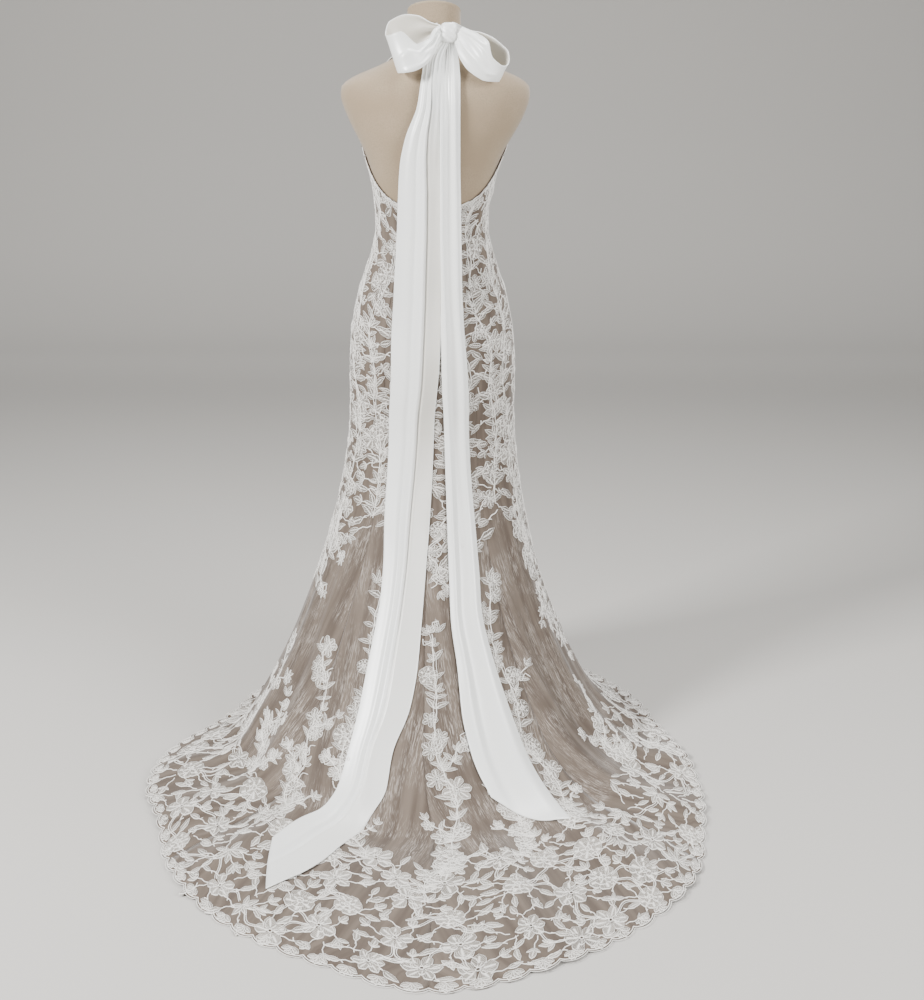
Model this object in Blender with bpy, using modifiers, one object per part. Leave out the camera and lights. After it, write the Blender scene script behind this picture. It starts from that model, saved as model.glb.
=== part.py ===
"""Mermaid gown on a limbless dress form, with a halter bow, two sash tails and a train.

Metres, +Z up. The origin is on the floor, on the axis of the stand. The form faces +Y, and the train runs to -Y.
Angles round the gown are in degrees from the centre back (-Y), positive towards the wearer's right (+X).
A "run" is a place down the gown: 0 is the top edge, 1 the thigh where the flare starts, 2 the line where the
cloth meets the floor, and 3 the hem.
"""

import math
from collections import namedtuple

import bmesh
import bpy
import numpy as np
from mathutils import Vector
from mathutils.bvhtree import BVHTree

# Driving sizes of the gown
THIGH_HEIGHT = 0.70  # where the fitted part ends and the flare starts
CLOTH = 0.002  # lining and lace tulle together
CLEAR = 0.0005  # between the form and the cloth on it
SEAM_GAP = 0.0003  # between two pieces that are sewn together
LACE = 0.0012  # how far corded lace stands out of the tulle
SATIN = 0.0014  # the sash, doubled
SATIN_CLEAR = 0.0005  # between the sash and what it lies on

# Driving sizes of the form and its stand
NECK_TILT = 0.36  # rise of the neck's slanted top for each metre backwards
FORM_BOTTOM = 0.688
POLE_RADIUS = 0.0125
BASE_RADIUS = 0.19
BASE_THICKNESS = 0.014

# Half widths and depths of the figure by height, and how far its middle sways to the wearer's left
Section = namedtuple("Section", "height side front back sway")
SECTIONS = [
    Section(0.660, 0.1660, 0.110, 0.125, -0.011),
    Section(0.720, 0.1660, 0.112, 0.130, -0.010),
    Section(0.800, 0.1655, 0.113, 0.134, -0.009),
    Section(0.864, 0.1615, 0.112, 0.130, -0.009),
    Section(0.905, 0.1545, 0.110, 0.122, -0.009),
    Section(0.946, 0.1455, 0.107, 0.111, -0.009),
    Section(0.987, 0.1315, 0.102, 0.098, -0.009),
    Section(1.027, 0.1185, 0.098, 0.088, -0.008),
    Section(1.070, 0.1095, 0.096, 0.083, -0.008),
    Section(1.107, 0.1095, 0.104, 0.087, -0.008),
    Section(1.146, 0.1160, 0.117, 0.096, -0.006),
    Section(1.185, 0.1245, 0.124, 0.105, -0.005),
    Section(1.224, 0.1390, 0.121, 0.112, -0.003),
    Section(1.262, 0.1600, 0.112, 0.114, -0.001),
    Section(1.300, 0.1780, 0.101, 0.112, 0.0),
    Section(1.330, 0.1860, 0.092, 0.108, 0.0),
    Section(1.345, 0.1840, 0.087, 0.104, 0.0),
    Section(1.362, 0.1640, 0.080, 0.097, 0.0),
    Section(1.378, 0.1260, 0.073, 0.088, 0.0),
    Section(1.395, 0.0880, 0.065, 0.077, 0.0),
    Section(1.415, 0.0600, 0.057, 0.064, -0.001),
    Section(1.445, 0.0530, 0.052, 0.055, -0.002),
    Section(1.480, 0.0520, 0.052, 0.053, -0.002),
]
NECK_TOP = SECTIONS[-1].height
NECK_BASE = 1.415
CHEST_HEIGHT = 1.300  # above every point of the gown's top edge
SQUARENESS = 2.25  # 2 is an ellipse

# The bust of the form: two low mounds
BUST_HEIGHT, BUST_TALL, BUST_PROUD = 1.178, 0.042, 0.014
BUST_ANGLE, BUST_WIDE = 150.0, 17.0

# The gown's top edge, the same on both sides: low and flat across the back, up to a point on each breast
Edge = namedtuple("Edge", "angle height")
TOP_EDGE = [
    Edge(0, 1.121), Edge(28, 1.122), Edge(45, 1.133), Edge(60, 1.154), Edge(75, 1.184),
    Edge(90, 1.218), Edge(108, 1.246), Edge(126, 1.266), Edge(142, 1.280), Edge(156, 1.262),
    Edge(180, 1.205),
]

# Where the cloth meets the floor and where the hem lies, by angle. Left and right differ as the train was spread
Hem = namedtuple("Hem", "angle touch reach")
HEM = [
    Hem(-180, 0.375, 0.400), Hem(-140, 0.385, 0.410), Hem(-110, 0.405, 0.430), Hem(-94, 0.415, 0.450),
    Hem(-84, 0.430, 0.490), Hem(-70, 0.455, 0.600), Hem(-58, 0.480, 0.668), Hem(-48, 0.500, 0.705),
    Hem(-36, 0.520, 0.800), Hem(-22, 0.540, 0.895), Hem(-11, 0.550, 0.950), Hem(0, 0.560, 1.008),
    Hem(11, 0.550, 0.968), Hem(22, 0.540, 0.905), Hem(32, 0.525, 0.840), Hem(46, 0.500, 0.705),
    Hem(58, 0.480, 0.615), Hem(66, 0.460, 0.565), Hem(76, 0.445, 0.505), Hem(86, 0.430, 0.468),
    Hem(98, 0.415, 0.450), Hem(120, 0.400, 0.425), Hem(150, 0.385, 0.410), Hem(180, 0.375, 0.400),
]
FLARE_START_OUT, FLARE_START_DROP = 0.009, 0.25  # first handle of the flare's curve
FLARE_END_SHARE = 0.59  # second handle, as a share of the way out to the floor
FLARE_SWAY = -0.012  # more sway of the flare's middle, on top of the thigh's

# Soft flutes of the flare and ripples of the train, each a ridge that runs down and out
Fold = namedtuple("Fold", "angle width flute ripple drift")
FOLDS = [
    Fold(-172, 11, 0.016, 0.002, 0), Fold(-141, 10, 0.020, 0.003, 3), Fold(-113, 10, 0.018, 0.003, 4),
    Fold(-88, 8, 0.020, 0.006, 6), Fold(-66, 7, 0.024, 0.010, 2), Fold(-44, 6, 0.020, 0.010, -3),
    Fold(-25, 5, 0.012, 0.008, -4), Fold(7, 4, 0.008, 0.009, 3), Fold(22, 5, 0.012, 0.011, 5),
    Fold(42, 6, 0.020, 0.012, 4), Fold(62, 7, 0.024, 0.012, 3), Fold(84, 8, 0.020, 0.006, -2),
    Fold(108, 10, 0.018, 0.003, -4), Fold(136, 10, 0.020, 0.003, -2), Fold(163, 10, 0.016, 0.002, 0),
]

# The seven gores, each cut in one piece from the top edge to the hem
Gore = namedtuple("Gore", "name start end columns")
GORES = [
    Gore("gore_back_right", 0, 38, 12), Gore("gore_side_back_right", 38, 88, 14),
    Gore("gore_side_front_right", 88, 142, 8), Gore("gore_front", 142, 218, 12),
    Gore("gore_side_front_left", 218, 272, 8), Gore("gore_side_back_left", 272, 322, 14),
    Gore("gore_back_left", 322, 360, 12),
]
FITTED_ROWS, FLARE_ROWS, TRAIN_ROWS = 11, 12, 4
HEM_LAST = 0.965  # run, less 2, of the last plain row before the scallops
SCALLOP = 0.011  # how far the lace edge bulges past the hem line
SCALLOP_POINTS = 3  # points for each scallop

# Where the lace of the body ends and where the wide lace of the hem begins, as runs by angle
Lace = namedtuple("Lace", "angle body_end band_start")
LACE_EDGES = [
    Lace(-180, 1.26, 1.72), Lace(-160, 1.40, 1.70), Lace(-140, 1.27, 1.76), Lace(-120, 1.42, 1.73),
    Lace(-100, 1.30, 1.80), Lace(-84, 1.41, 1.80), Lace(-64, 1.34, 1.86), Lace(-48, 1.27, 1.95),
    Lace(-34, 1.22, 2.05), Lace(-16, 1.27, 2.12), Lace(-2, 1.22, 2.18), Lace(7, 1.39, 2.10),
    Lace(16, 1.23, 2.20), Lace(26, 1.30, 2.12), Lace(40, 1.26, 2.05), Lace(53, 1.22, 1.95),
    Lace(64, 1.32, 1.90), Lace(80, 1.58, 1.80), Lace(98, 1.30, 1.82), Lace(120, 1.42, 1.74),
    Lace(140, 1.27, 1.76), Lace(160, 1.40, 1.70), Lace(180, 1.26, 1.72),
]
# Branching sprays that climb the open tulle from the lace of the hem
Spray = namedtuple("Spray", "foot_angle foot_run tip_angle tip_run width")
SPRAYS = [
    Spray(-14, 2.15, -28, 1.36, 0.022), Spray(-30, 2.05, -42, 1.52, 0.024), Spray(2, 2.20, 6, 1.45, 0.020),
    Spray(30, 2.10, 36, 1.38, 0.022), Spray(56, 1.95, 66, 1.62, 0.024), Spray(-70, 1.90, -76, 1.56, 0.024),
    Spray(-112, 1.78, -106, 1.50, 0.022), Spray(-150, 1.72, -146, 1.44, 0.020),
    Spray(150, 1.72, 146, 1.44, 0.020), Spray(112, 1.78, 106, 1.50, 0.022),
]

# The halter ties: two edges of each band by angle and height, and how far the band lifts off the form
Tie = namedtuple("Tie", "inner inner_height outer outer_height lift")
TIE_FRONT = [
    Tie(157, 1.20, 127, 1.20, 0), Tie(158, 1.300, 129, 1.298, 0), Tie(157, 1.325, 131, 1.325, 0),
    Tie(153, 1.352, 128, 1.350, 0), Tie(146, 1.378, 119, 1.372, 0), Tie(134, 1.402, 106, 1.388, 0),
    Tie(118, 1.425, 92, 1.396, 0), Tie(98, 1.441, 76, 1.402, 0), Tie(76, 1.450, 60, 1.410, 0.001),
]
TIE_END_RIGHT = [Tie(52, 1.451, 46, 1.416, 0.004), Tie(30, 1.452, 29, 1.424, 0.0150)]
TIE_END_LEFT = [
    Tie(55, 1.450, 45, 1.414, 0.001), Tie(30, 1.448, 26, 1.416, 0.002), Tie(10, 1.448, 8, 1.420, 0.003),
    Tie(-7, 1.450, -7, 1.424, 0.007),
]
TIE_FOLDS = (0.0, 0.0016, 0.0004, 0.0020, 0.0002, 0.0014, 0.0)  # soft pleats across a tie

# The tails: first where they hang free, by place, then where they lie on the gown, by angle and run
Hang = namedtuple("Hang", "left right height back")
Lie = namedtuple("Lie", "left left_run right right_run")
TAIL_HANG_LEFT = [
    Hang(0.010, 0.028, 1.4252, -0.083), Hang(-0.018, 0.016, 1.397, -0.094), Hang(-0.024, 0.013, 1.360, -0.108),
    Hang(-0.032, 0.014, 1.310, -0.119), Hang(-0.054, 0.014, 1.255, -0.121), Hang(-0.066, 0.014, 1.200, -0.121),
    Hang(-0.070, 0.014, 1.140, -0.122), Hang(-0.073, 0.014, 1.070, -0.124), Hang(-0.078, 0.013, 1.000, -0.127),
    Hang(-0.081, 0.012, 0.940, -0.128),
]
TAIL_LIE_LEFT = [
    Lie(-33, 0.62, 8.5, 0.63), Lie(-32, 0.80, 5.7, 0.81), Lie(-34.8, 0.99, 2.8, 0.98), Lie(-33, 1.12, 1.6, 1.12),
    Lie(-30, 1.22, 0.8, 1.21), Lie(-24.5, 1.33, -0.5, 1.32), Lie(-22.5, 1.42, -1.7, 1.43),
    Lie(-22.4, 1.52, -2.8, 1.52), Lie(-22, 1.62, -5, 1.61), Lie(-22, 1.71, -8.8, 1.70),
    Lie(-22.4, 1.80, -10, 1.80), Lie(-24.5, 1.90, -13.6, 1.90), Lie(-27.4, 2.02, -16, 2.07),
    Lie(-28.2, 2.18, -18.2, 2.34), Lie(-28.3, 2.312, -22, 2.67),
]
TAIL_HANG_RIGHT = [
    Hang(0.018, 0.036, 1.4252, -0.076), Hang(0.008, 0.045, 1.395, -0.087), Hang(0.004, 0.048, 1.355, -0.103),
    Hang(0.005, 0.048, 1.310, -0.115), Hang(0.006, 0.048, 1.255, -0.117), Hang(0.006, 0.048, 1.200, -0.117),
    Hang(0.006, 0.049, 1.140, -0.118), Hang(0.006, 0.050, 1.070, -0.120), Hang(0.008, 0.051, 1.000, -0.123),
    Hang(0.010, 0.052, 0.940, -0.125),
]
TAIL_LIE_RIGHT = [
    Lie(9, 0.62, 27.7, 0.64), Lie(9.1, 0.81, 29.3, 0.80), Lie(11.5, 0.98, 31.5, 1.00), Lie(12.4, 1.12, 31.3, 1.12),
    Lie(12.7, 1.22, 31, 1.22), Lie(12.6, 1.33, 29.5, 1.33), Lie(12, 1.43, 26.8, 1.43), Lie(12.7, 1.52, 27.6, 1.52),
    Lie(12.3, 1.62, 28.6, 1.61), Lie(13.2, 1.70, 29.1, 1.70), Lie(14.2, 1.77, 29.0, 1.79),
    Lie(14.8, 1.81, 28.5, 1.92), Lie(15.1, 1.84, 27.6, 2.07),
]
TAIL_FOLD = 0.0035  # height of the tails' soft lengthwise folds
TAIL_POINTS = 7  # across each tail

# The bow: a knot of rings, and two loops, each a band folded back on itself
Ring = namedtuple("Ring", "height half_wide half_deep")
KNOT_AT = (0.0265, -0.078, 1.4440)
KNOT = [
    Ring(-0.0185, 0.0090, 0.0060), Ring(-0.0160, 0.0135, 0.0095), Ring(-0.0080, 0.0160, 0.0120),
    Ring(0.0000, 0.0150, 0.0125), Ring(0.0080, 0.0160, 0.0120), Ring(0.0160, 0.0135, 0.0095),
    Ring(0.0185, 0.0090, 0.0060),
]
Loop = namedtuple("Loop", "name near far near_half far_half bulge belly twist")
LOOPS = [
    Loop("bow_loop_left", (0.0049, -0.080, 1.4490), (-0.083, -0.106, 1.4190), 0.015, 0.018, 0.028, 0.017, -0.30),
    Loop("bow_loop_right", (0.0489, -0.080, 1.4430), (0.136, -0.121, 1.3700), 0.014, 0.019, 0.018, 0.014, 0.25),
]
LOOP_STATIONS, LOOP_POINTS = 18, 6


def curve_through(places, values, at):
    """A smooth curve through the points, with no overshoot."""
    places, values = np.asarray(places, float), np.asarray(values, float)
    at = np.clip(at, places[0], places[-1])
    steps = np.diff(places)
    slopes = np.diff(values) / steps
    before, after = slopes[:-1], slopes[1:]
    total = np.where(np.abs(before + after) < 1e-12, 1.0, before + after)
    inner = np.where(before * after > 0, 2 * before * after / total, 0.0)
    tangents = np.concatenate([slopes[:1], inner, slopes[-1:]])
    k = np.clip(np.searchsorted(places, at) - 1, 0, len(steps) - 1)
    t = (at - places[k]) / steps[k]
    rise = (3 - 2 * t) * t * t
    bend = steps[k] * (tangents[k] * t * (1 - t) ** 2 - tangents[k + 1] * t * t * (1 - t))
    return values[k] * (1 - rise) + values[k + 1] * rise + bend


def column(table, name):
    return [getattr(row, name) for row in table]


def section_value(name, height):
    return curve_through(column(SECTIONS, "height"), column(SECTIONS, name), height)


def signed(angle):
    """The angle between -180 and 180."""
    return (np.asarray(angle, float) + 180) % 360 - 180


def hem_value(name, angle):
    return curve_through(column(HEM, "angle"), column(HEM, name), signed(angle))


def top_edge(angle):
    return curve_through(column(TOP_EDGE, "angle"), column(TOP_EDGE, "height"), abs(signed(angle)))


def ease(low, high, at):
    t = np.clip((at - low) / (high - low), 0, 1)
    return t * t * (3 - 2 * t)


def figure_radius(angle, height):
    """Distance from the figure's middle line to its skin."""
    turn = np.radians(angle)
    depth = np.where(np.cos(turn) > 0, section_value("back", height), section_value("front", height))
    across = np.abs(np.sin(turn)) / section_value("side", height)
    along = np.abs(np.cos(turn)) / depth
    radius = (across**SQUARENESS + along**SQUARENESS) ** (-1 / SQUARENESS)
    off_bust = (np.abs(signed(angle)) - BUST_ANGLE) / BUST_WIDE
    off_height = (height - BUST_HEIGHT) / BUST_TALL
    return radius + BUST_PROUD * np.exp(-(off_bust**2) - off_height**2)


def placed(angle, radius, height, sway):
    turn = np.radians(angle)
    shape = np.broadcast(angle, radius, height).shape
    point = np.empty(shape + (3,))
    point[..., 0] = radius * np.sin(turn) + sway
    point[..., 1] = -radius * np.cos(turn)
    point[..., 2] = height
    return point


def figure_point(angle, height, out=0.0):
    """A point on the figure's skin, or this far out from it. The neck's upper part slants."""
    point = placed(angle, figure_radius(angle, height) + out, height, section_value("sway", height))
    slant = ease(NECK_BASE, NECK_TOP, height) * NECK_TILT
    point[..., 2] -= slant * point[..., 1]
    return point


def fold_height(angle, run):
    """How far the flutes and ripples stand out of the plain flare."""
    total = np.zeros(np.broadcast(angle, run).shape)
    on_flare = ease(1.15, 1.85, run) * (1 - ease(1.9, 2.3, run))
    on_train = ease(1.9, 2.3, run) * (1 - 0.45 * ease(2.6, 3.0, run))
    for fold in FOLDS:
        off = signed(angle - fold.angle - fold.drift * (run - 1)) / fold.width
        total = total + (fold.flute * on_flare + fold.ripple * on_train) * np.exp(-(off**2))
    return total


def flare_line(angle, run, reach):
    """(radius, height) of the plain flare and train at this run, for a hem that lies at this reach."""
    start = figure_radius(angle, np.full(np.shape(angle), THIGH_HEIGHT))
    touch = hem_value("touch", angle)
    t = np.clip(run - 1, 0, 1)
    weights = (1 - t) ** 3, 3 * t * (1 - t) ** 2, 3 * t * t * (1 - t), t**3
    handle = start + FLARE_END_SHARE * (touch - start)
    radius = weights[0] * start + weights[1] * (start + FLARE_START_OUT) + weights[2] * handle + weights[3] * touch
    height = weights[0] * THIGH_HEIGHT + weights[1] * (THIGH_HEIGHT - FLARE_START_DROP)
    return radius + (reach - touch) * np.clip(run - 2, 0, 1), height


def plain_point(angle, run, reach):
    """The cloth's inner face with no folds."""
    angle, run = np.broadcast_arrays(np.asarray(angle, float), np.asarray(run, float))
    reach = hem_value("reach", angle) if reach is None else reach
    top = top_edge(angle)
    fitted_height = top + (THIGH_HEIGHT - top) * np.clip(run, 0, 1) ** 1.15
    fitted = placed(angle, figure_radius(angle, fitted_height), fitted_height, section_value("sway", fitted_height))
    radius, height = flare_line(angle, run, reach)
    sway = section_value("sway", THIGH_HEIGHT) + FLARE_SWAY * ease(1.0, 1.5, run) * (1 - ease(1.8, 2.2, run))
    sway = sway * (1 - ease(1.7, 2.0, run))
    flared = placed(angle, radius, height, sway)
    return np.where((run <= 1)[..., None], fitted, flared)


def lace_cover(angle, run):
    """1 where the cloth carries lace, 0 where it is open tulle."""
    off = signed(angle)
    body_end = curve_through(column(LACE_EDGES, "angle"), column(LACE_EDGES, "body_end"), off)
    band_start = curve_through(column(LACE_EDGES, "angle"), column(LACE_EDGES, "band_start"), off)
    cover = np.maximum(1 - ease(body_end - 0.03, body_end + 0.03, run), ease(band_start - 0.05, band_start + 0.05, run))
    for spray in SPRAYS:
        along = np.clip((spray.foot_run - run) / (spray.foot_run - spray.tip_run), -0.2, 1.2)
        middle = spray.foot_angle + (spray.tip_angle - spray.foot_angle) * along
        wide = spray.width * (1 - 0.5 * np.clip(along, 0, 1))
        across = np.radians(signed(angle - middle)) * 0.35 / wide
        cover = np.maximum(cover, np.exp(-(across**2)) * ease(-0.2, 0, along) * (1 - ease(0.9, 1.15, along)))
    return cover


def gown_point(angle, run, out=0.0, reach=None):
    """A point this far out from the cloth's inner face, folds included."""
    angle, run = np.broadcast_arrays(np.asarray(angle, float), np.asarray(run, float))
    step_angle, step_run = 0.2, 0.004
    down = plain_point(angle, run + step_run, reach) - plain_point(angle, run - step_run, reach)
    flat_end = run > 2.99
    down = np.where(flat_end[..., None], plain_point(angle, run, reach) - plain_point(angle, run - 0.1, reach), down)
    across = plain_point(angle + step_angle, run, reach) - plain_point(angle - step_angle, run, reach)
    normal = np.cross(down, across)
    normal /= np.linalg.norm(normal, axis=-1, keepdims=True)
    rise = fold_height(angle, run) + out + CLEAR * (run < 2)
    return plain_point(angle, run, reach) + normal * rise[..., None]


def new_collection(name):
    made = bpy.data.collections.new(name)
    bpy.context.scene.collection.children.link(made)
    return made


def material(name, colour, roughness, metallic=0.0):
    made = bpy.data.materials.new(name)
    made.use_nodes = True
    shader = made.node_tree.nodes["Principled BSDF"]
    shader.inputs["Base Color"].default_value = (*colour, 1)
    shader.inputs["Roughness"].default_value = roughness
    shader.inputs["Metallic"].default_value = metallic
    return made


def zip_rows(first, second):
    """Triangles between two rows of corners, always split the same way, so that two layers never cross."""
    faces, i, j = [], 0, 0
    while i < len(first) - 1 or j < len(second) - 1:
        behind = (j + 0.5) / (len(second) - 1) <= (i + 0.5) / (len(first) - 1)
        if j < len(second) - 1 and behind or i == len(first) - 1:
            faces.append((first[i], second[j + 1], second[j]))
            j += 1
        else:
            faces.append((first[i], first[i + 1], second[j]))
            i += 1
    return faces


def add_object(name, mesh, finish, collection, smooth=True):
    made = bpy.data.objects.new(name, mesh)
    mesh.materials.append(finish)
    if smooth:
        mesh.shade_smooth()
    collection.objects.link(made)
    return made


def mesh_of(name, points, faces):
    """A closed mesh with its faces pointing out."""
    mesh = bpy.data.meshes.new(name)
    mesh.from_pydata([tuple(p) for p in points], [], faces)
    work = bmesh.new()
    work.from_mesh(mesh)
    bmesh.ops.recalc_face_normals(work, faces=work.faces)
    work.to_mesh(mesh)
    work.free()
    return mesh


def cloth_solid(name, outer, inner, finish, collection):
    """A closed wall between two faces of the same cloth, each given as rows of points."""
    points, layers = [], []
    for rows in (outer, inner):
        layer = []
        for row in rows:
            layer.append(list(range(len(points), len(points) + len(row))))
            points.extend(row)
        layers.append(layer)
    faces = []
    for layer in layers:
        for first, second in zip(layer, layer[1:]):
            faces += zip_rows(first, second)
    out, back = layers
    edges = [(out[0], back[0]), (out[-1], back[-1])]
    edges += [([row[end] for row in out], [row[end] for row in back]) for end in (0, -1)]
    for first, second in edges:
        faces += zip_rows(first, second)
    return add_object(name, mesh_of(name, points, faces), finish, collection)


def runs_of_rows():
    fitted = np.linspace(0, 1, FITTED_ROWS + 1)
    flare = 1 + np.linspace(0, 1, FLARE_ROWS + 1)[1:]
    train = 2 + HEM_LAST * np.linspace(0, 1, TRAIN_ROWS + 1)[1:]
    return np.concatenate([fitted, flare, train])


def gore_angles(gore):
    """The gore's column angles, closer together towards the centre back, where the train is longest."""
    return np.linspace(gore.start, gore.end, gore.columns + 1)


def scalloped_hem(angles, outer):
    """The lace edge: one uneven scallop for each column of the gore."""
    fine = np.concatenate(
        [np.linspace(a, b, SCALLOP_POINTS, endpoint=False) for a, b in zip(angles, angles[1:])] + [angles[-1:]]
    )
    phase = np.tile(np.arange(SCALLOP_POINTS) / SCALLOP_POINTS, len(angles) - 1)
    bulge = np.append(np.sin(np.pi * phase), 0.0)
    uneven = 0.75 + 0.35 * np.sin(np.radians(fine) * 17.0) * np.cos(np.radians(fine) * 5.0)
    reach = hem_value("reach", fine) + SCALLOP * bulge * uneven
    run = np.full(len(fine), 3.0)
    return gown_point(fine, run, outside(fine, run) if outer else 0.0, reach)


def outside(angle, run):
    """How far the wall's outer face is from its inner face: the cloth, and the lace where it has any."""
    return CLOTH + LACE * lace_cover(angle, run)


def trimmed(rows):
    """The rows with their two ends drawn in by half of the seam's gap."""
    for row in rows:
        for end, beside in ((0, 1), (-1, -2)):
            inward = row[beside] - row[end]
            row[end] = row[end] + inward / np.linalg.norm(inward) * SEAM_GAP / 2
    return rows


def build_gores(finish, collection):
    runs = runs_of_rows()
    for gore in GORES:
        angles = gore_angles(gore)
        layers = []
        for outer in (True, False):
            rows = []
            for run in runs:
                every = np.full(len(angles), run)
                rows.append(gown_point(angles, every, outside(angles, every) if outer else 0.0))
            rows.append(scalloped_hem(angles, outer))
            layers.append(trimmed(rows))
        cloth_solid(gore.name, *layers, finish, collection)


def ring_solid(name, rings, finish, collection):
    """A closed body through rings of corners from the bottom up, with a flat face at each end."""
    count = len(rings[0])
    points = [point for ring in rings for point in ring]
    faces = []
    for k in range(len(rings) - 1):
        low, high = ([n * count + i % count for i in range(count + 1)] for n in (k, k + 1))
        faces += zip_rows(high, low)
    faces.append(tuple(range(count)))
    faces.append(tuple(range(len(points) - count, len(points))))
    return add_object(name, mesh_of(name, points, faces), finish, collection)


def form_angles():
    """The gown's columns, every second one where the figure is rounded, so that its faces run inside the cloth's."""
    return np.concatenate([gore_angles(gore)[:-1][:: 1 if "front" in gore.name else 2] for gore in GORES])


def build_form(cover, dark, collection):
    angles = form_angles()
    ones = np.ones(len(angles))
    top = top_edge(angles)
    foot = figure_point(angles, THIGH_HEIGHT * ones, -0.007)
    foot[:, 2] = FORM_BOTTOM
    rings = [foot]
    for run in runs_of_rows()[: FITTED_ROWS + 1][::-1]:
        rings.append(figure_point(angles, top + (THIGH_HEIGHT - top) * run**1.15, -0.0003))
    for share in (0.34, 0.67):
        rings.append(figure_point(angles, top + (CHEST_HEIGHT - top) * share, -0.0003))
    for height in (CHEST_HEIGHT, 1.33, 1.345, 1.362, 1.378, 1.395, NECK_BASE, 1.445, NECK_TOP):
        rings.append(figure_point(angles, height * ones, -0.0003))
    ring_solid("dress_form", rings, cover, collection)

    top_ring = figure_point(angles[::2], np.full(len(angles[::2]), NECK_TOP), -0.0003)
    centre = top_ring.mean(axis=0)
    up = np.array([0.0, NECK_TILT, 1.0]) / math.hypot(NECK_TILT, 1.0)
    steps = [(0.99, 0.0003), (1.0, 0.0020), (1.0, 0.0040), (0.94, 0.0056), (0.30, 0.0062)]
    rings = [centre + (top_ring - centre) * scale + up * rise for scale, rise in steps]
    ring_solid("neck_cap", rings, dark, collection)

    pole_low, pole_high = BASE_THICKNESS + 0.0003, FORM_BOTTOM - 0.0003
    bpy.ops.mesh.primitive_cylinder_add(vertices=32, radius=POLE_RADIUS, depth=pole_high - pole_low)
    pole = bpy.context.object
    pole.location.z = (pole_low + pole_high) / 2
    bpy.ops.mesh.primitive_cylinder_add(vertices=64, radius=BASE_RADIUS, depth=BASE_THICKNESS)
    base = bpy.context.object
    base.location.z = BASE_THICKNESS / 2
    edge = base.modifiers.new("rounded edge", "BEVEL")
    edge.width, edge.segments, edge.limit_method = 0.003, 2, "ANGLE"
    for made, name in ((pole, "stand_pole"), (base, "stand_base")):
        made.name = made.data.name = name
        made.data.materials.append(dark)
        made.data.shade_smooth()
        for old in list(made.users_collection):
            old.objects.unlink(made)
        collection.objects.link(made)


def tree_of(collection):
    """What has been built so far, for finding where cloth laid on it comes to rest."""
    points, faces = [], []
    for made in collection.objects:
        first = len(points)
        points += [made.matrix_world @ corner.co for corner in made.data.vertices]
        faces += [[first + i for i in face.vertices] for face in made.data.polygons]
    return BVHTree.FromPolygons(points, faces)


def laid_on(tree, rows, ways):
    """The rows of points, each moved along its way out until the faces between them clear what is below."""
    rows = np.array(rows)
    reach = 0.04
    shares = (0.0, 0.2, 0.4, 0.6, 0.8, 1.0)

    def shortfall(point, way):
        hit = tree.ray_cast(Vector(point + way * reach), Vector(-way), 2 * reach)
        return 0.0 if hit[3] is None else max(0.0, SATIN_CLEAR + reach - hit[3])

    for _ in range(6):
        lift = np.zeros(rows.shape[:2])
        for i in range(rows.shape[0] - 1):
            for j in range(rows.shape[1] - 1):
                corners = ((i, j), (i, j + 1), (i + 1, j), (i + 1, j + 1))
                worst = 0.0
                for u in shares:
                    for v in shares:
                        weights = ((1 - u) * (1 - v), (1 - u) * v, u * (1 - v), u * v)
                        point = sum(w * rows[c] for w, c in zip(weights, corners))
                        way = sum(w * ways[c] for w, c in zip(weights, corners))
                        worst = max(worst, shortfall(point, way / np.linalg.norm(way)))
                for c in corners:
                    lift[c] = max(lift[c], worst)
        rows = rows + ways * lift[..., None]
        if lift.max() < 0.00005:
            break
    return rows


def out_of(surface, first, second, steps):
    """The way out of a surface of two measures, at each point."""
    along_first = surface(first + steps[0], second) - surface(first - steps[0], second)
    along_second = surface(first, second + steps[1]) - surface(first, second - steps[1])
    way = np.cross(along_first, along_second)
    way /= np.linalg.norm(way, axis=-1, keepdims=True)
    return way


def build_tie(name, stations, side, finish, collection):
    across = np.linspace(0, 1, len(TIE_FOLDS))
    angle = np.array([row.inner + (row.outer - row.inner) * across for row in stations]) * side
    height = np.array([row.inner_height + (row.outer_height - row.inner_height) * across for row in stations])
    height = np.maximum(height, top_edge(angle) + 0.0008)
    lift = np.array(column(stations, "lift"))[:, None]
    ways = out_of(figure_point, angle, height, (0.5, 0.002))
    place = np.arange(len(stations))[:, None]
    folds = np.array(TIE_FOLDS) * np.clip(place / 2, 0.25, 1) * (1 + 0.3 * np.sin(place * 1.7))
    inner = figure_point(angle, height) + ways * (SATIN_CLEAR + folds + lift)[..., None]
    inner = laid_on(tree_of(collection), inner, ways)
    cloth_solid(name, inner + ways * SATIN, inner, finish, collection)


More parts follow.
